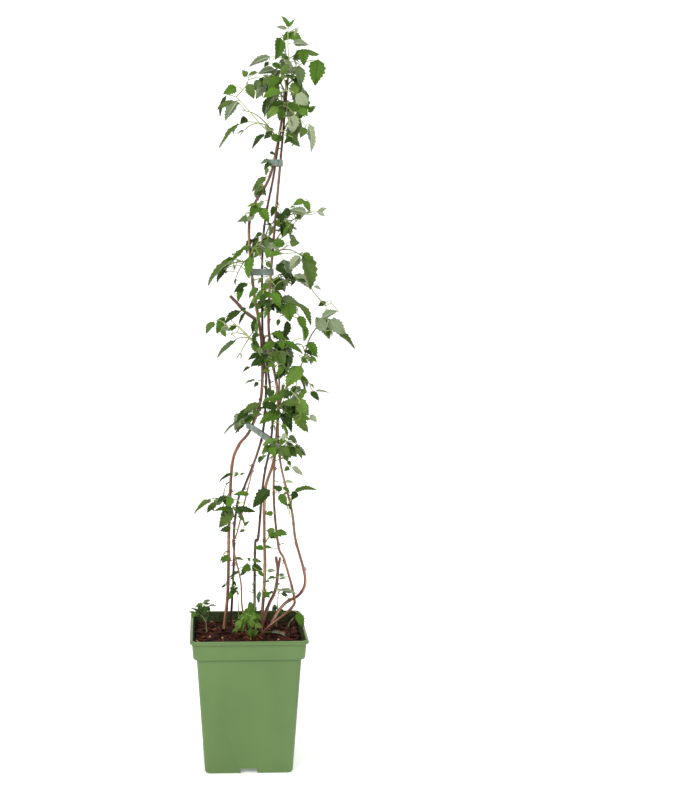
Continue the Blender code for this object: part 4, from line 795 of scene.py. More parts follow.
def along(line, share):
    """The point at a share of a line's length, and its direction there."""
    place = share * (len(line) - 1)
    index = min(int(place), len(line) - 2)
    a, b = line[index], line[index + 1]
    return a.lerp(b, place - index), (b - a).normalized()


def leaf_frame(root, axis, roll):
    """A leaflet's own space: X along its midrib and Z out of its upper face."""
    side = UP.cross(axis)
    if side.length < PARALLEL:
        side = Vector((1, 0, 0))
    side.normalize()
    side = Matrix.Rotation(roll, 3, axis) @ side
    normal = axis.cross(side).normalized()
    own = Matrix((axis, side, normal)).transposed().to_4x4()
    own.translation = root
    return own


def leaf_outline(share):
    """A leaflet's half width at a share of its length: full below the middle, drawn out to a point."""
    widest = RISE_POWER / (RISE_POWER + FALL_POWER)
    share = min(max(share, 0.0), 1.0)
    return (share / widest) ** RISE_POWER * ((1 - share) / (1 - widest)) ** FALL_POWER


def leaf_template(veins, fractions):
    """A toothed leaflet, pleated along its side veins, as a closed thin shell.

    `fractions` are the steps from the midrib to the edge. The last array tells which face is which:
    0 blade above, 1 midrib above, 2 blade below, 3 midrib below.
    """
    rows, half = 2 * veins + 1, len(fractions) - 1
    width = 2 * half + 1
    top = np.zeros((rows, width, 3))
    low = np.zeros((rows, width, 3))
    for i in range(rows):
        t = i / (rows - 1)
        on_vein = i % 2 == 1
        middle = MIDRIB_REACH * t
        edge = middle + VEIN_START + VEIN_SLANT * math.sin(math.pi * t) ** 0.8
        spread = leaf_outline(edge)
        if i == 0:
            edge, spread = 0.012, 0.10
        elif on_vein:
            edge += TOOTH_FORWARD
            spread *= TOOTH_SPREAD
        else:
            spread *= DIP_SPREAD
        for j in range(-half, half + 1):
            f = fractions[abs(j)]
            x = middle + (edge - middle) * f ** 1.3
            y = math.copysign(f * spread, j) if j else 0.0
            pleat = (-1 if on_vein else 1) * PLEAT * math.sin(math.pi * min(1, f)) ** 0.8
            lift = pleat - (RIB_SINK if j == 0 else 0)
            top[i, j + half] = (x, y, lift)
            thick = 0 if abs(j) == half else (2.9 if j == 0 else 1)
            low[i, j + half] = (x, y, lift - thick * BLADE_THICKNESS)
    points = [*top.reshape(-1, 3), (1.0, 0.0, 0.0)]
    tip = len(points) - 1
    top_index = np.arange(rows * width).reshape(rows, width)
    low_index = top_index.copy()
    for i in range(rows):
        for j in range(1, width - 1):
            low_index[i, j] = len(points)
            points.append(low[i, j])
    faces, kinds = [], []

    def quad(a, b, c, d, kind):
        faces.extend(((a, b, c), (a, c, d)))
        kinds.extend((kind, kind))

    for j in range(width - 1):
        rib = 1 if half - 1 <= j <= half else 0
        for i in range(rows - 1):
            quad(top_index[i, j], top_index[i + 1, j], top_index[i + 1, j + 1], top_index[i, j + 1], rib)
            quad(low_index[i, j], low_index[i, j + 1], low_index[i + 1, j + 1], low_index[i + 1, j], 2 + rib)
        faces.append((top_index[-1, j], tip, top_index[-1, j + 1]))
        faces.append((low_index[-1, j + 1], tip, low_index[-1, j]))
        kinds.extend((rib, 2 + rib))
        quad(top_index[0, j], top_index[0, j + 1], low_index[0, j + 1], low_index[0, j], 3)
    faces, kinds = np.array(faces), np.array(kinds)
    whole = (faces[:, 0] != faces[:, 1]) & (faces[:, 1] != faces[:, 2]) & (faces[:, 0] != faces[:, 2])
    return np.array(points, float), faces[whole], kinds[whole]


LARGE_LEAF = leaf_template(7, (0, 0.055, 0.36, 0.70, 1.0))
SMALL_LEAF = leaf_template(4, (0, 0.08, 0.52, 1.0))


def bend_of(share, curl):
    """How far ahead and down a curled leaflet one long has come at a share of its length."""
    spots = [share * (k + 0.5) / BEND_PARTS for k in range(BEND_PARTS)]
    ahead = sum(math.cos(curl * t**CURL_POWER) for t in spots) * share / BEND_PARTS
    return ahead, sum(math.sin(curl * t**CURL_POWER) for t in spots) * share / BEND_PARTS


def add_leaflet(pile, own, length, width, curl, fold, twist, rng, tones):
    """Bends one leaflet out of the template and adds it: folded on its rib, curled, twisted and waved."""
    points, faces, kinds = LARGE_LEAF if length > LARGE_LEAF_LENGTH else SMALL_LEAF
    wave, phase = rng.uniform(*WAVE), rng.uniform(0, 2 * math.pi)
    s = points[:, 0]
    side = points[:, 1]
    y = side * width / 2
    z = points[:, 2] * length
    z = z + np.abs(y) * math.sin(fold) + wave * length * side**2 * np.sin(s * WAVE_TURNS + phase)
    y = y * math.cos(fold) * (1 - PUCKER * np.sin(s * PUCKER_TURNS + phase) * np.sign(side))
    turn = twist * s
    y, z = y * np.cos(turn) - z * np.sin(turn), y * np.sin(turn) + z * np.cos(turn)
    steps = np.linspace(0, 1, BEND_STEPS + 1)
    bend = curl * steps**CURL_POWER
    ahead = np.concatenate([[0], np.cumsum((np.cos(bend[1:]) + np.cos(bend[:-1])) / 2)]) / BEND_STEPS
    drop = np.concatenate([[0], np.cumsum((np.sin(bend[1:]) + np.sin(bend[:-1])) / 2)]) / BEND_STEPS
    bend_here = curl * np.clip(s, 0, 1) ** CURL_POWER
    x = np.interp(s, steps, ahead) * length + z * np.sin(bend_here)
    z = -np.interp(s, steps, drop) * length + z * np.cos(bend_here)
    local = np.stack([x, y, z], 1)
    turned = np.array(own.to_3x3(), float)
    pile.add(local @ turned.T + np.array(own.translation, float), faces, np.array(tones)[kinds])


def square(bm, own, ahead, lift, width, thickness):
    """The corners of a rectangle across a leaflet or stalk, as new points."""
    corners = ((1, 1), (-1, 1), (-1, -1), (1, -1))
    places = [Vector((ahead, y * width / 2, lift + z * thickness / 2)) for y, z in corners]
    return [bm.verts.new(own @ place) for place in places]


def bridge(bm, rows, closed=True):
    """Faces from each row of points to the next, and round each row where it is closed."""
    for low, high in zip(rows, rows[1:]):
        for i in range(len(low) if closed else len(low) - 1):
            j = (i + 1) % len(low)
            bm.faces.new((low[i], low[j], high[j], high[i]))


def tested_leaflet(own, length, width, curl):
    """A plain blade, for testing what a leaflet would touch."""
    bm = bmesh.new()
    rings = []
    for share, wide in TESTED_BLADE:
        ahead, drop = bend_of(share, curl)
        rings.append(square(bm, own, ahead * length, -drop * length, wide * width, TEST_THICKNESS))
    bridge(bm, rings)
    return BVHTree.FromBMesh(bm)


def tested_stalk(line, width):
    """A square rod along a line, for testing what a stalk would touch."""
    bm = bmesh.new()
    rings = []
    for index, place in enumerate(line):
        before, after = line[max(0, index - 1)], line[min(len(line) - 1, index + 1)]
        own = leaf_frame(place, (after - before).normalized(), 0)
        rings.append(square(bm, own, 0, 0, width, width))
    bridge(bm, rings)
    return BVHTree.FromBMesh(bm)


def touches(tree, others):
    """Whether one tested shape meets any of the others."""
    return any(tree.overlap(other) for other in others)


def blade_points(own, length, width, curl):
    """Points spread over a leaflet."""
    points = []
    for share in CHECKED_LENGTHS:
        ahead, drop = bend_of(share, curl)
        half = leaf_outline(share) * width / 2
        points += [own @ Vector((ahead * length, side * half, -drop * length)) for side in CHECKED_SIDES]
    return points


def seen_at(u, v, y):
    """The point that the photo shows at a pixel, at a depth behind or before the pot's middle."""
    ray = AHEAD + RIGHT * ((u - MIDDLE_U) / FOCAL) - RISE * ((v - MIDDLE_V) / FOCAL)
    return CAMERA + ray * ((y - CAMERA.y) / ray.y)


def shown_at(point):
    """The pixel at which the photo shows a point."""
    out = point - CAMERA
    near = FOCAL / out.dot(AHEAD)
    return MIDDLE_U + out.dot(RIGHT) * near, MIDDLE_V - out.dot(RISE) * near


class Outline:
    """Where the photo shows leaves, in small cells, and how near the leaf is that shows there."""

    def __init__(self):
        self.depth = {}

    def add(self, u, v, y):
        """Marks the cell at a pixel and the four beside it."""
        i, j = int(u // CELL), int(v // CELL)
        for key in ((i, j), (i - 1, j), (i + 1, j), (i, j - 1), (i, j + 1)):
            self.depth[key] = min(self.depth.get(key, FAR), y)

    def has_room(self, points):
        """Whether a leaflet's points stay inside what shows, and behind it, but for a small share."""
        inside = 0
        for point in points:
            u, v = shown_at(point)
            inside += point.y > self.depth.get((int(u // CELL), int(v // CELL)), FAR) - NEARER
        return inside >= INSIDE_SHARE * len(points)


class Wood:
    """Points on the canes, stems and stalks, where the next stalk can start."""

    def __init__(self):
        self.points = np.zeros((0, 3))

    def add(self, line):
        """Adds the points of a line."""
        self.points = np.concatenate([self.points, [tuple(p) for p in line]])

    def nearest(self, place):
        """The nearest point, with one above the place counted as further off."""
        away = self.points - np.array(place)
        cost = np.linalg.norm(away, axis=1) + UPHILL_COST * np.maximum(away[:, 2], 0)
        return Vector(self.points[int(cost.argmin())])


def seen_pose(u, v, tip_u, tip_v, wide, y, rng):
    """The pose of a leaflet that shows from a root to a tip in the photo, so many pixels wide."""
    start = seen_at(u, v, y)
    span = (seen_at(tip_u, tip_v, y) - start).length
    across = abs(wide) * (CAMERA - start).length / FOCAL
    forward = rng.uniform(*SEEN_FORWARD) * span
    if across > LEAF_WIDTH_SHARE * span:
        forward = math.sqrt((across / LEAF_WIDTH_SHARE) ** 2 - span**2)
    chord = seen_at(tip_u, tip_v, y - forward) - start
    narrow = across < NARROW * chord.length
    curl = math.radians(rng.uniform(*(NARROW_CURL if narrow else SEEN_CURL)))
    fold = math.radians(rng.uniform(4, 16))
    ahead, drop = bend_of(1, curl)
    length = chord.length / math.hypot(ahead, drop)
    width = max(LEAF_WIDTH_SHARE * length * (NARROW_WIDTH if narrow else 1), across / FACING_WIDTH)
    turn = math.acos(min(1, across / (FACING_WIDTH * width)))
    chord.normalize()
    facing = CAMERA - start
    facing = (facing - chord * facing.dot(chord)).normalized()
    side = chord.cross(facing)
    outward = math.copysign(OUTWARD, start.x - CROWN_MIDDLE)
    side *= math.copysign(1, side.z + side.x * outward)
    normal = facing * math.cos(turn) * math.copysign(1, wide) + side * math.sin(turn)
    tilt = math.atan2(drop, ahead)
    axis = chord * math.cos(tilt) + normal * math.sin(tilt)
    normal = normal * math.cos(tilt) - chord * math.sin(tilt)
    own = Matrix((axis, normal.cross(axis), normal)).transposed().to_4x4()
    own.translation = start
    return own, length, width, curl, fold


def add_stalk(twigs, wood, place, heading, finish):
    """A stalk from the nearest wood, which bends into a leaflet's rib."""
    start = wood.nearest(place)
    gap = (place - start).length
    if gap < SHORTEST_STALK:
        return
    bend = place - heading * gap * 0.5
    shares = [step / STALK_STEPS for step in range(STALK_STEPS + 1)]
    line = [start.lerp(bend, t).lerp(bend.lerp(place, t), t) for t in shares]
    thick = STALK_RADIUS * (THICK_END + min(1, gap / LONG_STALK))
    twigs.add(*tube_mesh(line, even_taper(line, thick, STALK_RADIUS * THIN_END), 5), finish)
    wood.add(line[2:])


def place_seen_stems(wood, twig_piles):
    """The stems that can be told apart in the photo, each from the nearest wood."""
    for group, depth, paths in SEEN_STEMS:
        for path in paths:
            line = smooth_path([seen_at(u, v, depth * MM) for u, v in path], STEM_SPACING)
            start = wood.nearest(line[0])
            line = [start, *line] if (line[0] - start).length > 0.001 else line
            stem = tube_mesh(line, even_taper(line, TWIG_RADIUS, TIP_RADIUS), 6)
            twig_piles[group].add(*stem, PLAIN_INDEX["twig_pale"])
            wood.add(line)


def free_seen_pose(leaf, y, trees, own):
    """A seen leaflet's pose and tested shape: as deep as given, or nearer where it would touch the rest."""
    u, v, tip_u, tip_v, wide, _ = leaf
    for shift in range(SEEN_TRIES):
        rng = random.Random(f"seen {u} {v} {tip_u} {tip_v}")
        pose = seen_pose(u, v, tip_u, tip_v, wide, y - shift * SEEN_STEP, rng)
        shape = tested_leaflet(*pose[:4])
        if not touches(shape, trees if shift > SEEN_TRIES // 2 else trees + own):
            break
    return pose, shape


def place_seen(trees, wood, outline, piles, twig_piles):
    """The leaflets that can be told apart in the photo, each where it shows there and on its own stalk."""
    own = []
    for group, depth, leaves in SEEN:
        joints = []
        for leaf in leaves:
            u, v, tip_u, tip_v, wide, tone = leaf
            seed = f"seen {u} {v} {tip_u} {tip_v}"
            near = [y for a, b, y in joints if math.hypot(u - a, v - b) < JOINT_REACH]
            y = near[0] if near else depth * MM + random.Random(seed).gauss(0, DEPTH_SPREAD)
            pose, shape = free_seen_pose(leaf, y, trees, own)
            joints.append((u, v, y))
            own.append(shape)
            rng = random.Random(seed + " tone")
            if wide > 0:
                tones = leaf_tones(rng.choice(SEEN_TONES[tone]), rng.choice(UNDERSIDES))
            else:
                tones = leaf_tones("leaf_mid", UNDER_TONES[tone])
            add_leaflet(piles[group], *pose, math.radians(rng.uniform(-10, 10)), rng, tones)
            finish = PLAIN_INDEX[rng.choice(("twig_green", "twig_pale"))]
            add_stalk(twig_piles[group], wood, pose[0].translation, pose[0].col[0].xyz, finish)
            for point in blade_points(*pose[:4]):
                outline.add(*shown_at(point), point.y)
    for left, top, right, bottom in DENSE:
        for u in np.arange(left, right, CELL):
            for v in np.arange(top, bottom, CELL):
                outline.add(u, v, DENSE_DEPTH)
    return own


def end_pose(mass, twig, span):
    """The bearing and rise of the stalk of a twig's last leaf, and how far its end leaflet droops."""
    rise = math.asin(span.z / span.length)
    droop = math.radians(random.Random(f"{mass} {twig} end").uniform(*END_DROOP))
    if rise > STEEP:
        droop = 0
    return math.atan2(span.y, span.x), rise + droop * END_LIFT, droop


def stem_line(mass, twig, start, tip, size):
    """A stem's points: a curve that bows upwards, to where its last leaf just reaches the tip."""
    span = tip - start
    bearing, rise, droop = end_pose(mass, twig, span)
    end = tip - direction(bearing, rise - droop) * size - direction(bearing, rise) * size * END_STALK_SHARE
    if (end - start).dot(span) < SHORTEST_STEM * span.length_squared:
        end = start + span * SHORTEST_STEM
    control = (start + end) / 2 + UP * ARCH * math.hypot(span.x, span.y)
    line = []
    for step in range(STEM_STEPS + 1):
        t = step / STEM_STEPS
        line.append(start * (1 - t) ** 2 + control * 2 * t * (1 - t) + end * t * t)
    return line


def shoot_stem(name, lines):
    """The points of a side shoot's main stem, from the cane's side, its tip or the soil."""
    carrier, height, tips = SHOOTS[name]
    tip, size = Vector(tips[0][:3]) * MM, tips[0][4] * MM
    if carrier not in lines:
        foot = Vector((*carrier, height)) * MM - UP * SUNK
        return [foot, *stem_line(name, 0, foot + UP * RISE_FROM_SOIL, tip, size)]
    path, radii = lines[carrier]
    base, radius = at_height(path, radii, height * MM)
    if base.z >= path[-1].z:
        return stem_line(name, 0, base - UP * GAP, tip, size)
    above, below = (at_height(path, radii, base.z + step)[0] for step in (SLOPE_STEP, -SLOPE_STEP))
    heading = above - below
    heading.normalize()
    out = tip - base
    side = (out - heading * out.dot(heading)).normalized()
    return stem_line(name, 0, base + side * radius * STEM_ROOT, tip, size)


def on_stalk(root, out, stalk, share):
    """The point at a share of a leaf stalk that sags a little."""
    return root + out * stalk * share - UP * stalk * STALK_SAG * share * share


def leaf_places(mass, twig, number, count, line, tip, size):
    """How one leaf could sit, a way for each try: its stalk's root, direction and length, and leaflets."""
    share = 1 - (1 - FIRST_LEAF) * (count - 1 - number) / max(1, count - 1)
    root, _ = along(line, share)
    bearing, end_rise, end_droop = end_pose(mass, twig, tip - line[0])
    last = number == count - 1
    for attempt in range(TRIES):
        rng = random.Random(f"{mass} {twig} {number} {attempt} fine")
        spread = rng.uniform(*LEAF_BEARING) * (1 if (number + twig + attempt // 5) % 2 else -1)
        if end_rise > STEEP:
            spread = SPIRAL * number + rng.uniform(-30, 30) + 60 * attempt
        azimuth = bearing + math.radians(spread)
        rise = math.radians(rng.uniform(*LEAF_RISE))
        droop = math.radians(rng.uniform(*LEAF_DROOP))
        here = size * (1 if last else rng.uniform(*LEAF_SIZE))
        stalk = here * rng.uniform(*STALK_LENGTH)
        if last:
            azimuth = bearing + math.radians(rng.uniform(-5, 5) * attempt)
            rise = end_rise - math.radians(4 * attempt)
            droop = end_droop
            stalk = size * END_STALK_SHARE
        out = direction(azimuth, rise)
        across = leaf_frame(Vector(), out, 0).to_3x3()
        places = [(0, 1.0, 1.0)]
        places += [(side, SIDE_LEAFLET_SHARE, SIDE_LEAFLET_AT) for side in (1, -1)]
        if here > FIVE_LENGTH and rng.random() < FIVE_CHANCE:
            places += [(side, SIDE_LEAFLET_SHARE * SECOND_PAIR_SHARE, SECOND_PAIR_AT) for side in (1, -1)]
        leaflets = []
        for side, scale, at in places:
            yaw = math.radians(side * rng.uniform(*SIDE_YAW) if side else rng.uniform(*END_YAW))
            fall = droop * (rng.uniform(*SIDE_FALL) if side else 1) * 0.7
            axis = across @ direction(yaw, -fall)
            length = here * scale * rng.uniform(0.88, 1.12)
            width = length * LEAF_WIDTH_SHARE * rng.uniform(0.86, 1.14)
            roll = math.radians(rng.gauss(0, ROLL_SPREAD))
            own = leaf_frame(on_stalk(root, out, stalk, at), axis, roll)
            leaflets.append((own, length, width, math.radians(rng.uniform(*LEAFLET_CURL))))
        yield root, out, stalk, leaflets


def leaf_tones(above, below):
    """The colours of a leaflet's blade and midrib, above and below."""
    rib = "vein_dark" if above in ("leaf_dark", "leaf_mid") else "vein_top"
    return [PLAIN_INDEX[name] for name in (above, rib, below, "vein_under")]


def spray_tones(rng, shade):
    """The colours of one spray of leaves."""
    return leaf_tones(rng.choices(LEAF_COLOURS, SHADES[shade])[0], rng.choice(UNDERSIDES))


def group_of(height):
    """The piece that foliage at a height goes to."""
    return next(name for name, (low, high) in GROUPS.items() if low <= height < high)


def grow_tuft(pile, root, heading, size, rng, tones):
    """The folded young leaves at a twig's end."""
    for _ in range(rng.choice((2, 3, 3, 4))):
        azimuth = rng.uniform(0, 2 * math.pi)
        axis = (heading + direction(azimuth, 0.2) * rng.uniform(0.2, 0.8)).normalized()
        length = size * rng.uniform(0.6, 1.2)
        own = leaf_frame(root + axis * 0.0008, axis, rng.uniform(-1, 1))
        curl, fold = math.radians(rng.uniform(-10, 50)), math.radians(rng.uniform(35, 65))
        add_leaflet(pile, own, length, length * rng.uniform(0.22, 0.42), curl, fold, 0.2, rng, tones)


def freest_leaf(places, trees, own, outline):
    """The first way for a leaf to sit that keeps the most leaflets: its stalk's line and those leaflets."""
    line, best = (), ()
    for root, out, stalk, leaflets in places:
        if not outline.has_room(blade_points(*leaflets[0])):
            continue
        stalk_line = [on_stalk(root, out, stalk, share) for share in (0, 0.25, 0.5, 0.75, 1.0)]
        if touches(tested_stalk(stalk_line[1:], STALK_RADIUS * 2), trees):
            continue
        shown = [leaf for leaf in leaflets if outline.has_room(blade_points(*leaf))]
        shapes = [(leaf, tested_leaflet(*leaf)) for leaf in shown]
        free = [(leaf, shape) for leaf, shape in shapes if not touches(shape, trees + own)]
        if len(free) > len(best) and free[0][0] is leaflets[0]:
            line, best = stalk_line, free
        if len(best) == len(leaflets):
            break
    return line, best


def grow_mass(name, stem, trees, wood, outline, pile, twigs):
    """One side shoot's twigs and leaves, without what would touch the rest or hide what the photo shows."""
    shade = SHADE_OF.get(name, "common")
    own = []
    for twig, (x, y, z, count, leaf_length) in enumerate(SHOOTS[name][2]):
        line, tip, size = stem, Vector((x, y, z)) * MM, leaf_length * MM
        spray = random.Random(f"{name} {twig} tones")
        if twig:
            fork, _ = along(stem, FORK_STEP + FORK_STEP * twig)
            line = stem_line(name, twig, fork, tip, size)
            if touches(tested_stalk(line[1:], TWIG_RADIUS * 1.5), trees):
                continue
            tube = tube_mesh(line, even_taper(line, TWIG_RADIUS, TIP_RADIUS), 6)
            twigs.add(*tube, PLAIN_INDEX["twig_green"])
            wood.add(line)
        fuller = count + max(1, round(count * FULLER))
        tones = spray_tones(spray, shade)
        for number in range(fuller):
            if spray.random() < NEW_TONE_CHANCE:
                tones = spray_tones(spray, shade)
            places = leaf_places(name, twig, number, fuller, line, tip, size)
            stalk_line, leaflets = freest_leaf(places, trees, own, outline)
            if not leaflets:
                continue
            rng = random.Random(f"{name} {twig} {number} shape")
            finish = PLAIN_INDEX[rng.choice(("twig_green", "twig_pale", "twig_pale"))]
            twigs.add(*tube_mesh(stalk_line, [STALK_RADIUS * share for share in STALK_TAPER], 5), finish)
            for leaf, shape in leaflets:
                fold, twist = math.radians(rng.uniform(4, 30)), math.radians(rng.uniform(-26, 26))
                add_leaflet(pile, *leaf, fold, twist, rng, tones)
                own.append(shape)
        tuft = random.Random(f"{name} {twig} tuft")
        end, heading = along(line, 1)
        grow_tuft(pile, end, heading, TUFT_SIZE, tuft, spray_tones(tuft, "grey"))
    return own


def set_inputs(node, values):
    """Sets a node's inputs by name, where From_Min means the input called From Min."""
    for name, value in values.items():
        node.inputs[name.replace("_", " ")].default_value = value
    return node


def new_material(name, **values):
    """A finish, its nodes and its shader, with the shader's values by name."""
    material = bpy.data.materials.new(name)
    material.use_nodes = True
    tree = material.node_tree
    return material, tree, set_inputs(tree.nodes["Principled BSDF"], values)


def add_node(tree, kind, **values):
    """A new node with its input values by name."""
    return set_inputs(tree.nodes.new("ShaderNode" + kind), values)


def link(tree, source, output, target, socket):
    """Leads one node's output into another's input."""
    tree.links.new(source.outputs[output], target.inputs[socket])


def add_noise(tree, scale, detail, stretch=(1, 1, 1), source=None, output="Object"):
    """A noise over the object's own space, or over another node's output."""
    mapping = add_node(tree, "Mapping", Scale=stretch)
    link(tree, source or add_node(tree, "TexCoord"), output, mapping, "Vector")
    grain = add_node(tree, "TexNoise", Scale=scale, Detail=detail)
    link(tree, mapping, "Vector", grain, "Vector")
    return grain


def add_relief(tree, grain, shader, strength, depth):
    """A fine relief from a noise, on the whole finish."""
    bump = add_node(tree, "Bump", Strength=strength, Distance=depth)
    link(tree, grain, "Fac", bump, "Height")
    link(tree, bump, "Normal", shader, "Normal")


def add_gloss(tree, grain, shader, low, high):
    """A roughness that follows a noise between two values."""
    rough = add_node(tree, "MapRange", To_Min=low, To_Max=high)
    link(tree, grain, "Fac", rough, "Value")
    link(tree, rough, "Result", shader, "Roughness")


def make_plain(name):
    """A leaf or twig finish: its own plain colour, with a fine unevenness in its surface."""
    colour, roughness = PLAIN[name]
    material, tree, shader = new_material(
        name, Base_Color=(*colour, 1), Roughness=roughness, Specular_IOR_Level=DULL,
    )
    add_relief(tree, add_noise(tree, 900, 3), shader, 0.25, 0.0003)
    return material


def add_ramp(tree, grain, stops):
    """Colours that follow a noise, each from its own value on."""
    node = add_node(tree, "ValToRGB")
    elements = node.color_ramp.elements
    while len(elements) < len(stops):
        elements.new(0.5)
    for element, (position, colour) in zip(elements, stops):
        element.position = position
        element.color = (*colour, 1)
    link(tree, grain, "Fac", node, "Fac")
    return node


def mix_colour(tree, factor, a, b, blend="MIX"):
    """A colour mix of two outputs, each given as (node, output name) or a colour."""
    node = add_node(tree, "Mix")
    node.data_type = "RGBA"
    node.blend_type = blend
    for socket, value in ((MIX_FACTOR, factor), (MIX_A, a), (MIX_B, b)):
        if isinstance(value, tuple) and isinstance(value[0], bpy.types.Node):
            link(tree, *value, node, socket)
        elif isinstance(value, tuple):
            node.inputs[socket].default_value = (*value, 1)
        else:
            node.inputs[socket].default_value = value
    return node


def make_bark(name):
    """Cane bark: lengthwise streaks and flecks, and a greener brown towards the top of the plant."""
    dark, middle, pale, upper = BARKS[name]
    material, tree, shader = new_material(name)
    place = add_node(tree, "Attribute")
    place.attribute_name = "place"
    streaks = add_noise(tree, 1.7, 5, (1, 1, 0.10), place, "Vector")
    flecks = add_noise(tree, 4.0, 4, (1, 1, 0.9), place, "Vector")
    colours = add_ramp(tree, streaks, ((0.36, dark), (0.48, middle), (0.56, middle), (0.68, pale)))
    darker = tuple(c * 0.45 for c in dark)
    spots = add_ramp(tree, flecks, ((0.36, darker), (0.48, WHITE), (1.0, WHITE)))
    flecked = mix_colour(tree, 0.55, (colours, "Color"), (spots, "Color"), "MULTIPLY")
    split = add_node(tree, "SeparateXYZ")
    link(tree, add_node(tree, "TexCoord"), "Object", split, "Vector")
    height = add_node(tree, "MapRange", From_Min=0.45, From_Max=1.0)
    link(tree, split, "Z", height, "Value")
    tint = mix_colour(tree, (height, "Result"), WHITE, upper)
    tinted = mix_colour(tree, 1.0, (flecked, MIX_RESULT), (tint, MIX_RESULT), "MULTIPLY")
    link(tree, tinted, MIX_RESULT, shader, "Base Color")
    add_gloss(tree, streaks, shader, 0.42, 0.72)
    add_relief(tree, flecks, shader, 0.5, 0.0004)
    return material


def make_cut_wood():
    """The pale wood on a cane's cut end."""
    material, tree, shader = new_material("cut_end", Roughness=0.85)
    stops = ((0.3, (0.16, 0.075, 0.035)), (0.5, (0.40, 0.25, 0.14)), (0.75, (0.55, 0.38, 0.24)))
    link(tree, add_ramp(tree, add_noise(tree, 700, 4), stops), "Color", shader, "Base Color")
    return material


def make_pot_plastic():
    """Moulded plastic: a satin green, faint upright flow marks and fine pitting."""
    material, tree, shader = new_material("pot_plastic")
    flow = add_noise(tree, 38, 4, (1, 1, 0.16))
    colours = add_ramp(tree, add_noise(tree, 11, 3), tuple(zip((0.25, 0.5, 0.8), POT_GREENS)))
    marks = add_ramp(tree, flow, ((0.35, (0.93, 0.93, 0.93)), (0.65, (1.05, 1.05, 1.05))))
    marked = mix_colour(tree, 0.5, (colours, "Color"), (marks, "Color"), "MULTIPLY")
    link(tree, marked, MIX_RESULT, shader, "Base Color")
    add_gloss(tree, flow, shader, 0.40, 0.56)
    add_relief(tree, add_noise(tree, 1500, 2), shader, 0.12, 0.0002)
    return material


def make_earthy(name):
    """A dull, grainy finish: compost, a bark chip, or the painted shade on the pot's inside."""
    colour = EARTHY[name]
    material, tree, shader = new_material(name, Roughness=0.85, Specular_IOR_Level=DULL)
    grain = add_noise(tree, 420, 5)
    dark, pale = tuple(c * 0.35 for c in colour), tuple(min(1, c * 1.7) for c in colour)
    colours = add_ramp(tree, grain, ((0.32, dark), (0.52, colour), (0.75, pale)))
    link(tree, colours, "Color", shader, "Base Color")
    add_relief(tree, grain, shader, 0.6, 0.0006)
    return material


def make_tie_plastic():
    """Thin, worn green plastic."""
    material, tree, shader = new_material("tie_plastic", Roughness=0.26, Coat_Weight=0.3)
    stops = ((0.3, (0.085, 0.120, 0.100)), (0.55, (0.15, 0.19, 0.16)), (0.8, (0.28, 0.33, 0.29)))
    wear = add_noise(tree, 260, 4, (1, 1, 0.3))
    link(tree, add_ramp(tree, wear, stops), "Color", shader, "Base Color")
    return material


def square_ring(half, height):
    """The points of a square outline with round corners."""
    corner = half * CORNER_SHARE
    ring = []
    for quarter in range(4):
        middle = math.pi / 4 + quarter * math.pi / 2
        centre = direction(middle) * (half - corner) * math.sqrt(2)
        for step in range(CORNER_STEPS + 1):
            turn = middle - math.pi / 4 + step * math.pi / 2 / CORNER_STEPS
            ring.append(centre + direction(turn) * corner + UP * height)
    return ring


def object_from(name, bm, material=None):
    """An object with its faces turned outwards."""
    bmesh.ops.recalc_face_normals(bm, faces=bm.faces)
    mesh = bpy.data.meshes.new(name)
    bm.to_mesh(mesh)
    bm.free()
    if material:
        mesh.materials.append(material)
    return scene_object(name, mesh)


def bake_modifiers(obj, sharp):
    """Applies an object's modifiers and rounds its shading up to an angle."""
    bpy.context.view_layer.update()
    graph = bpy.context.evaluated_depsgraph_get()
    mesh = bpy.data.meshes.new_from_object(obj.evaluated_get(graph))
    obj.modifiers.clear()
    obj.data = mesh
    mesh.shade_smooth()
    mesh.set_sharp_from_angle(angle=math.radians(sharp))
    return obj


def outer_half(height):
    """Half the width of the pot's sloping side at a height."""
    return BASE_HALF + (BODY_TOP_HALF - BASE_HALF) * height / BAND_BOTTOM


def box_between(name, low, high, quarter=0):
    """A box between two corners, turned by quarters of a turn round the pot."""
    bm = bmesh.new()
    bmesh.ops.create_cube(bm, size=1)
    for vert in bm.verts:
        vert.co = Vector([a + (b - a) * (c + 0.5) for a, b, c in zip(low, high, vert.co)])
    bmesh.ops.rotate(bm, verts=bm.verts, matrix=Matrix.Rotation(quarter * math.pi / 2, 3, "Z"))
    return object_from(name, bm)


def notch_cutters(grow):
    """Boxes for the four drain notches, each side grown by some amount."""
    half = NOTCH_WIDTH / 2 + grow
    low = (BASE_HALF - NOTCH_DEPTH - grow, -half, -0.01)
    high = (BASE_HALF + NOTCH_DEPTH / 2, half, NOTCH_HEIGHT + grow)
    return [box_between(f"notch_{grow}_{quarter}", low, high, quarter) for quarter in range(4)]


def drain_drill(quarter):
    """A rod for one of the drain holes in the floor."""
    bm = bmesh.new()
    bmesh.ops.create_cone(
        bm, cap_ends=True, segments=24, radius1=DRAIN_RADIUS, radius2=DRAIN_RADIUS, depth=0.02,
    )
    bmesh.ops.translate(bm, verts=bm.verts, vec=(BASE_HALF - NOTCH_DEPTH * 0.55, 0, NOTCH_HEIGHT))
    bmesh.ops.rotate(bm, verts=bm.verts, matrix=Matrix.Rotation(quarter * math.pi / 2, 3, "Z"))
    return object_from(f"drill_{quarter}", bm)


def boolean(obj, operation, other):
    """Joins, cuts or keeps what is shared of one object with another."""
    modifier = obj.modifiers.new(f"{operation}_{other.name}", "BOOLEAN")
    modifier.operation = operation
    modifier.object = other
    modifier.solver = "EXACT"


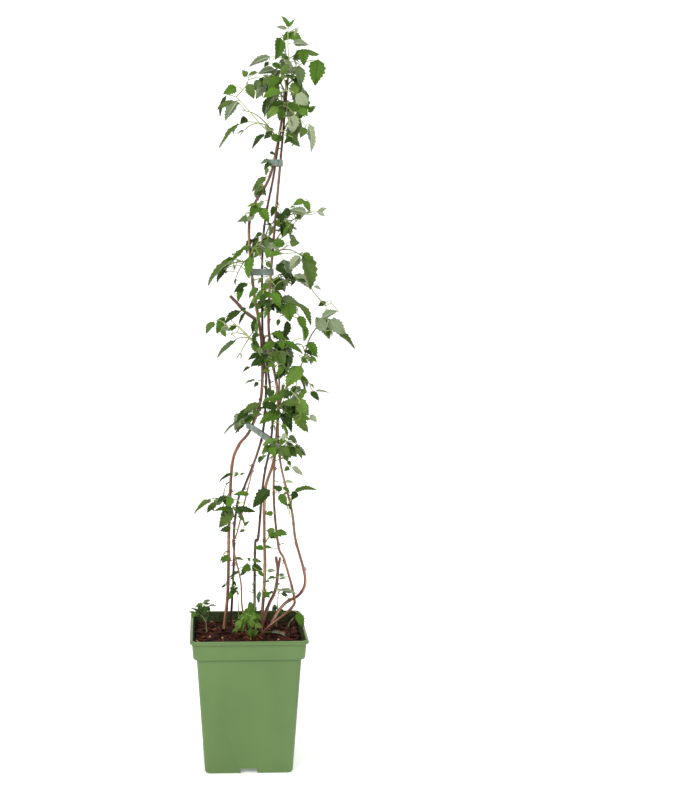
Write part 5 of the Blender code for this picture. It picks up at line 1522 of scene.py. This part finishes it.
def pot_profile():
    """Half widths and heights from the foot up, over the rolled lip and down inside to the floor."""
    wall = POT_WALL
    step = BAND_BOTTOM - BAND_STEP
    lip = POT_HEIGHT - LIP_HEIGHT
    return (
        (BASE_HALF - BASE_ROUNDING, 0),
        (BASE_HALF - 0.0010, 0.0008),
        (outer_half(BASE_ROUNDING), BASE_ROUNDING),
        (BODY_TOP_HALF, step),
        (BAND_BOTTOM_HALF - 0.0012, BAND_BOTTOM),
        (BAND_BOTTOM_HALF, BAND_BOTTOM + 0.0022),
        (BAND_TOP_HALF, lip),
        (LIP_HALF - 0.0006, lip + 0.0006),
        (LIP_HALF, lip + 0.0016),
        (LIP_HALF - 0.0002, POT_HEIGHT - 0.0018),
        (LIP_HALF - 0.0014, POT_HEIGHT - 0.0003),
        (LIP_HALF - 0.0026, POT_HEIGHT),
        (BAND_TOP_HALF - wall + 0.0010, POT_HEIGHT - 0.0004),
        (BAND_TOP_HALF - wall, POT_HEIGHT - 0.0016),
        (BAND_BOTTOM_HALF - wall, BAND_BOTTOM + 0.003),
        (BODY_TOP_HALF - wall, step),
        (BASE_HALF - wall, wall + BASE_ROUNDING),
        (BASE_HALF - wall - BASE_ROUNDING, wall),
    )


def make_pot(material, inside):
    """The thin moulded pot with its band, rolled lip, rounded edges, drain notches and holes."""
    bm = bmesh.new()
    rows = [[bm.verts.new(p) for p in square_ring(*at)] for at in pot_profile()]
    bridge(bm, rows)
    bm.faces.new(rows[0])
    bm.faces.new(rows[-1])
    pot = object_from("pot_shell", bm, material)
    cutters = []
    inner, floor = BASE_HALF - POT_WALL / 2, POT_WALL / 2
    for number, pocket in enumerate(notch_cutters(POT_WALL)):
        trim = box_between(f"trim_{number}", (-inner, -inner, floor), (inner, inner, floor + 0.05))
        boolean(pocket, "INTERSECT", trim)
        boolean(pot, "UNION", pocket)
        cutters += [pocket, trim]
    for cutter in notch_cutters(0) + [drain_drill(quarter) for quarter in range(4)]:
        boolean(pot, "DIFFERENCE", cutter)
        cutters.append(cutter)
    bake_modifiers(pot, 32)
    # The inside faces above the soil take a darker, browner green: painted shade within the pot's walls.
    pot.data.materials.append(inside)
    for face in pot.data.polygons:
        facing_in = face.normal.x * face.center.x + face.normal.y * face.center.y < -0.02
        if facing_in and face.center.z > SOIL_TOP - INSIDE_DEPTH:
            face.material_index = len(pot.data.materials) - 1
    for cutter in cutters:
        bpy.data.objects.remove(cutter, do_unlink=True)
    return carry(pot, "pot_plastic", "pot")


def inside_pot(x, y, margin=0.0):
    """Draws a point in towards the pot's inside where it lies past the wall or a round corner."""
    half = SOIL_HALF - margin
    corner = half * CORNER_SHARE
    x, y = max(-half, min(half, x)), max(-half, min(half, y))
    over = Vector((abs(x) - (half - corner), abs(y) - (half - corner)))
    if over.x > 0 and over.y > 0 and over.length > corner:
        over = over.normalized() * corner
        x = math.copysign(half - corner + over.x, x)
        y = math.copysign(half - corner + over.y, y)
    return x, y


def soil_height(x, y):
    """The height of the compost's uneven surface."""
    swells = noise.noise(Vector((x * 42, y * 42, 3.1)))
    grains = noise.noise(Vector((x * 160, y * 160, 7.7)))
    return SOIL_TOP - SOIL_SINK + (swells * SWELL_HEIGHT + grains * GRAIN_HEIGHT)


def make_soil(material):
    """The bed of compost: an uneven surface with a skirt down inside the pot."""
    steps = SOIL_STEPS
    bm = bmesh.new()
    grid = []
    for i in range(steps + 1):
        row = []
        for j in range(steps + 1):
            x, y = inside_pot((i / steps * 2 - 1) * SOIL_HALF, (j / steps * 2 - 1) * SOIL_HALF)
            row.append(bm.verts.new((x, y, soil_height(x, y))))
        grid.append(row)
    for i in range(steps):
        for j in range(steps):
            bm.faces.new((grid[i][j], grid[i + 1][j], grid[i + 1][j + 1], grid[i][j + 1]))
    rim = [grid[i][0] for i in range(steps)] + [grid[steps][j] for j in range(steps)]
    rim += [grid[i][steps] for i in range(steps, 0, -1)] + [grid[0][j] for j in range(steps, 0, -1)]
    low = [bm.verts.new((v.co.x, v.co.y, SOIL_TOP - SKIRT_DEPTH)) for v in rim]
    for k in range(len(rim)):
        m = (k + 1) % len(rim)
        bm.faces.new((rim[m], rim[k], low[k], low[m]))
    bm.faces.new(low)
    bmesh.ops.triangulate(bm, faces=bm.faces)
    soil = object_from("compost", bm, material)
    soil.data.shade_smooth()
    soil.data.set_sharp_from_angle(angle=math.radians(60))
    return carry(soil, "potting_soil", "soil")


def chip_points(rng, length, width, thick):
    """Three uneven cross-sections of a chip, tapered towards its ends."""
    points = []
    for s, taper in ((-1, rng.uniform(0.25, 0.8)), (rng.uniform(-0.3, 0.3), 1), (1, rng.uniform(0.2, 0.8))):
        for a, b in ((-1, -1), (1, -1), (1, 1), (-1, 1)):
            points.append(Vector((
                s * length / 2 * rng.uniform(0.9, 1.05),
                a * width / 2 * taper * rng.uniform(0.75, 1.15) + rng.uniform(-0.05, 0.05) * width,
                b * thick / 2 * rng.uniform(0.6, 1.3) * (0.5 + taper / 2) + (1 - abs(s)) * thick * 0.25,
            )))
    return points


def make_chips(materials, feet):
    """Bark chips strewn over the compost: split, tapering flakes that lie this way and that."""
    pile = Pile()
    rng = random.Random("chips")
    faces = [(0, 3, 2), (0, 2, 1), (8, 9, 10), (8, 10, 11)]
    for k in (0, 4):
        for c in range(4):
            d = (c + 1) % 4
            faces += [(k + c, k + d, k + 4 + d), (k + c, k + 4 + d, k + 4 + c)]
    for _ in range(CHIP_COUNT):
        x, y = (rng.uniform(-1, 1) * SOIL_HALF for _ in range(2))
        length = rng.uniform(*CHIP_LENGTH) * (LONG_SHARE if rng.random() < LONG_CHANCE else SHORT_SHARE)
        width = length * rng.uniform(0.25, 0.6)
        thick = rng.uniform(*CHIP_THICKNESS)
        x, y = inside_pot(x, y, length * 0.45)
        layer = rng.choice(CHIP_LAYERS) * LAYER_HEIGHT
        near_foot = min(math.hypot(x - foot_x, y - foot_y) for foot_x, foot_y in feet)
        lift = HEAP_HEIGHT * max(0, 1 - near_foot / HEAP_REACH)
        z = soil_height(x, y) + layer + lift + CHIP_RISE
        tilt = math.radians(rng.gauss(0, 13))
        lean = math.radians(rng.gauss(0, 16))
        turn = rng.uniform(0, 2 * math.pi)
        matrix = (
            Matrix.Translation((x, y, z)) @ Matrix.Rotation(turn, 4, "Z")
            @ Matrix.Rotation(tilt, 4, "Y") @ Matrix.Rotation(lean, 4, "X")
        )
        points = [tuple(matrix @ point) for point in chip_points(rng, length, width, thick)]
        pale = MORE_PALE if (x < 0 and y < PALE_FRONT) else FEW_PALE
        kind = rng.choices(range(len(CHIPS)), (6, 6, 3, 0.4 + pale * 9, pale * 5))[0]
        pile.add(points, faces, kind)
    chips = pile.build("bark_chips", [materials[name] for name in CHIPS], sharp=20)
    return carry(chips, "potting_soil", "soil")


def hull_outline(points):
    """The convex outline of points seen from above, anticlockwise."""
    points = sorted({(round(p.x, 6), round(p.y, 6)) for p in points})

    def half(points):
        chain = []
        for p in points:
            while len(chain) > 1:
                (ax, ay), (bx, by) = chain[-2:]
                if (bx - ax) * (p[1] - ay) - (by - ay) * (p[0] - ax) > 0:
                    break
                chain.pop()
            chain.append(p)
        return chain[:-1]

    return half(points) + half(points[::-1])


def tie_ring(name, lines):
    """The points of a tie's outline round its canes, seen from above, and the middle of the canes."""
    height, slope, held = TIES[name]
    middle = sum((at_height(*lines[cane], height)[0].x for cane in held)) / len(held)
    outline = []
    for cane in held:
        place, radius = at_height(*lines[cane], height)
        for _ in range(3):
            place, radius = at_height(*lines[cane], height + slope * (place.x - middle))
        for end in (-TIE_HEIGHT / 2, TIE_HEIGHT / 2):
            there, _ = at_height(*lines[cane], place.z + end)
            turns = [2 * math.pi * i / TIE_SIDES for i in range(TIE_SIDES)]
            outline += [there + direction(turn) * (radius + TIE_SLACK) for turn in turns]
    corners = [Vector(p) for p in hull_outline(outline)]
    ring = []
    for a, b in zip(corners, corners[1:] + corners[:1]):
        steps = max(1, round((b - a).length / TIE_SPACING))
        ring += [a.lerp(b, k / steps) for k in range(steps)]
    return ring, middle


def outward(ring, k):
    """The direction out of a ring of points at one of them."""
    ahead = ring[(k + 1) % len(ring)] - ring[k - 1]
    return Vector((ahead.y, -ahead.x)).normalized()


def thickened(name, bm, material):
    """A thin sheet made as thick as a tie."""
    sheet = object_from(name, bm, material)
    wall = sheet.modifiers.new("thickness", "SOLIDIFY")
    wall.thickness = TIE_THICKNESS
    wall.offset = 0
    return bake_modifiers(sheet, 40)


def make_tie(name, lines, material):
    """A plastic band drawn round the canes, a little bulged across its height, with a lapped end."""
    height, slope, _ = TIES[name]
    ring, middle = tie_ring(name, lines)
    bm = bmesh.new()
    rows = []
    for level in range(TIE_LEVELS):
        share = level / (TIE_LEVELS - 1) * 2 - 1
        row = []
        for k, p in enumerate(ring):
            crease = noise.noise(Vector((p.x * 160, p.y * 160, share)))
            q = p + outward(ring, k) * (TIE_BULGE * (1 - share * share) + TIE_CREASE * crease)
            z = height + slope * (p.x - middle) + share * TIE_HEIGHT / 2
            z += TIE_WAVE * noise.noise(Vector((p.x * 60, p.y * 60, 5)))
            row.append(bm.verts.new((q.x, q.y, z)))
        rows.append(row)
    bridge(bm, rows)
    band = thickened(name + "_band", bm, material)
    bm = bmesh.new()
    start = max(range(len(ring)), key=lambda k: -ring[k].x - 0.6 * ring[k].y)
    rows = []
    for side in (-1, 1):
        row = []
        for k in range(LAP_STEPS + 1):
            at = (start + k) % len(ring)
            p = ring[at]
            q = p + outward(ring, at) * (LAP_GAP + LAP_LIFT * max(0, 1 - k / 3) ** 1.5)
            z = height + slope * (p.x - middle) + side * TIE_HEIGHT * LAP_SHARE
            row.append(bm.verts.new((q.x, q.y, z)))
        rows.append(row)
    bridge(bm, rows, closed=False)
    lap = thickened(name + "_lap", bm, material)
    carry(lap, "tie_plastic", name)
    carry(band, "tie_plastic", name)


def bud_spots(rng, length):
    """The places of a cane's buds, as distances along it and angles round it."""
    spots, distance, angle = [], rng.uniform(*FIRST_NODE), rng.uniform(0, 2 * math.pi)
    while distance < length - 0.01:
        spots.append((distance, angle))
        distance += rng.uniform(*NODE_GAP)
        angle += math.radians(SPIRAL + rng.uniform(-25, 25))
    return spots


def make_canes(materials):
    """Every cane as one piece with its relief, buds, spurs and prickles."""
    for name, (_, _, bark, nodes) in CANES.items():
        path, radii = cane_line(name, CANE_SPACING)
        path = [path[0] - UP * SUNK, *path[1:]]
        run = [0.0]
        for a, b in zip(path, path[1:]):
            run.append(run[-1] + (b - a).length)
        rng = random.Random(f"{name} nodes")
        spots = bud_spots(rng, run[-1])
        points, faces, place = cane_mesh(name, path, radii, spots)
        pile = Pile()
        pile.add(points, faces, 0, place)
        u, v, heading = carried_frames([tuple(p) for p in path])
        for distance, angle in spots:
            k = int(np.searchsorted(run, distance))
            side = Vector(u[k] * math.cos(angle) + v[k] * math.sin(angle))
            ahead = Vector(heading[k])
            root = path[k] + side * radii[k] * 0.95
            length = rng.uniform(*BUD_LENGTH)
            pile.add(*bud_mesh(root, ahead + side * rng.uniform(0.4, 0.9), length), 1)
            if rng.random() < SPUR_CHANCE:
                out = (side + ahead * rng.uniform(0.1, 0.7)).normalized()
                reach = rng.uniform(*SPUR_LENGTH)
                start = path[k] + side * radii[k] * 0.8 - ahead * 0.0022
                spur = [start, start + out * reach * 0.5, start + out * reach]
                pile.add(*tube_mesh(spur, SPUR_RADII, 6), 1)
        for _ in range(int(run[-1] * PRICKLES_A_METRE)):
            k = rng.randrange(4, len(path) - 2)
            angle = rng.uniform(0, 2 * math.pi)
            side = Vector(u[k] * math.cos(angle) + v[k] * math.sin(angle))
            root = path[k] + side * radii[k] * 0.9
            tip = root + (side * 0.9 - Vector(heading[k]) * 0.3) * rng.uniform(*PRICKLE_LENGTH)
            pile.add(*tube_mesh([root, tip], PRICKLE_RADII, 4), 1)
        piece = pile.build(name + "_bark", [materials[bark], materials["bud_brown"]])
        carry(piece, "cane_bark", *nodes)


def make_stubs(materials):
    """The cut-off stubs, with dark bark and a pale cut end."""
    thick, thin = (d / 2 * MM for d in STUB_DIAMETERS)
    for name, points in STUB_PATHS.items():
        path = smooth_path([Vector(p) * MM for p in points], CANE_SPACING)
        branches = [(path, even_taper(path, thick, thin))]
        if name == "forked_stub":
            path[0] = path[0] - UP * SUNK
            fork = smooth_path([Vector(p) * MM for p in FORK_PATH], CANE_SPACING)
            branches.append((fork, [thin * 0.9] * len(fork)))
        pile = Pile()
        rng = random.Random(name)
        for number, (line, radii) in enumerate(branches):
            total = sum((b - a).length for a, b in zip(line, line[1:]))
            spots = [(total * share, rng.uniform(0, 6)) for share in (0.3, 0.62)] if number == 0 else []
            mesh_points, faces, place = cane_mesh(f"{name} {number}", line, radii, spots, 0.8)
            cut = np.zeros(len(faces), int)
            cut[-CANE_SIDES:] = 1
            pile.add(mesh_points, faces, cut, place)
        piece = pile.build(name + "_bark", [materials["bark_stub"], materials["cut_end"]], sharp=40)
        carry(piece, "cut_wood", name)


def tree_of(obj):
    """An object's faces, for testing what touches them."""
    bm = bmesh.new()
    bm.from_mesh(obj.data)
    tree = BVHTree.FromBMesh(bm)
    bm.free()
    return tree


def make_foliage(lines, materials):
    """All side shoots, as one piece of leaves and one of twigs for each stretch of the plant's height."""
    plain = [materials[name] for name in PLAIN]
    piles = {group: Pile() for group in GROUPS}
    twig_piles = {group: Pile() for group in GROUPS}
    masses = {group: [] for group in GROUPS}
    trees = [tree_of(node) for name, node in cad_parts.items() if not name.startswith("foliage_")]
    wood, outline, stems = Wood(), Outline(), {}
    for name in CANES:
        wood.add(cane_line(name, WOOD_SPACING)[0][3:])
    for name in SHOOTS:
        low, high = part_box(f"foliage_{name}")
        group = group_of((low.z + high.z) / 2)
        masses[group].append(name)
        stem = stems[name] = shoot_stem(name, lines)
        tube = tube_mesh(stem, even_taper(stem, STEM_RADIUS, TIP_RADIUS), 7)
        twig_piles[group].add(*tube, PLAIN_INDEX["twig_green"])
        wood.add(stem)
    place_seen_stems(wood, twig_piles)
    trees += place_seen(trees, wood, outline, piles, twig_piles)
    for group, names in masses.items():
        for name in names:
            trees += grow_mass(name, stems[name], trees, wood, outline, piles[group], twig_piles[group])
        nodes = [f"foliage_{name}" for name in names]
        carry(piles[group].build(f"leaves_{group}", plain, sharp=70), "foliage", *nodes)
        carry(twig_piles[group].build(f"twigs_{group}", plain), "foliage", *nodes)


def make_stage():
    """A pale floor that curves up into a backdrop, and soft light from all round."""
    material, _, _ = new_material(
        "studio_floor", Base_Color=(0.93, 0.93, 0.925, 1), Roughness=0.9,
        Emission_Color=(*WHITE, 1), Emission_Strength=0.22,
    )
    bm = bmesh.new()
    profile = [(FLOOR_FRONT, 0.0), (FLOOR_BACK, 0.0)]
    for step in range(1, COVE_STEPS + 1):
        turn = math.pi / 2 * step / COVE_STEPS
        profile.append((FLOOR_BACK + COVE_RADIUS * math.sin(turn), COVE_RADIUS * (1 - math.cos(turn))))
    profile.append((FLOOR_BACK + COVE_RADIUS, BACKDROP_TOP))
    ends = (-FLOOR_HALF, FLOOR_HALF)
    bridge(bm, [[bm.verts.new((x, y, z - FLOOR_SINK)) for x in ends] for y, z in profile], closed=False)
    floor = object_from("studio_floor", bm, material)
    floor.data.shade_smooth()
    world = bpy.data.worlds.new("soft_world")
    world.use_nodes = True
    set_inputs(world.node_tree.nodes["Background"], {"Color": (*WHITE, 1), "Strength": WORLD_STRENGTH})
    bpy.context.scene.world = world
    for name, place, size, power, aim in LAMPS:
        light = bpy.data.lights.new(name, "AREA")
        light.size = size
        light.energy = power
        lamp = scene_object(name, light)
        lamp.location = place
        lamp.rotation_euler = (Vector(aim) - Vector(place)).to_track_quat("-Z", "Y").to_euler()


def make_camera():
    """The photo's camera."""
    data = bpy.data.cameras.new("camera")
    data.sensor_width = SENSOR
    data.lens = LENS
    data.shift_x = SHIFT
    camera = scene_object("camera", data)
    camera.location = CAMERA
    camera.rotation_euler = AHEAD.to_track_quat("-Z", "Y").to_euler()
    bpy.context.scene.camera = camera


def main():
    """The stage, the finishes, and the plant from the pot up."""
    bpy.context.scene.view_settings.view_transform = "Standard"
    make_camera()
    make_stage()
    materials = {name: make_plain(name) for name in PLAIN}
    materials |= {name: make_bark(name) for name in BARKS}
    materials |= {name: make_earthy(name) for name in EARTHY}
    materials["cut_end"] = make_cut_wood()
    make_pot(make_pot_plastic(), materials["pot_inside_painted_shade"])
    make_soil(materials["compost"])
    foot_points = [spec[0][0] for spec in CANES.values()] + [STUB_PATHS["forked_stub"][0]]
    make_chips(materials, [(x * MM, y * MM) for x, y, _ in foot_points])
    make_canes(materials)
    make_stubs(materials)
    lines = {name: cane_line(name, CAD_SPACING) for name in CANES}
    tie_plastic = make_tie_plastic()
    for name in TIES:
        make_tie(name, lines, tie_plastic)
    make_foliage(lines, materials)


main()
bpy.context.view_layer.update()
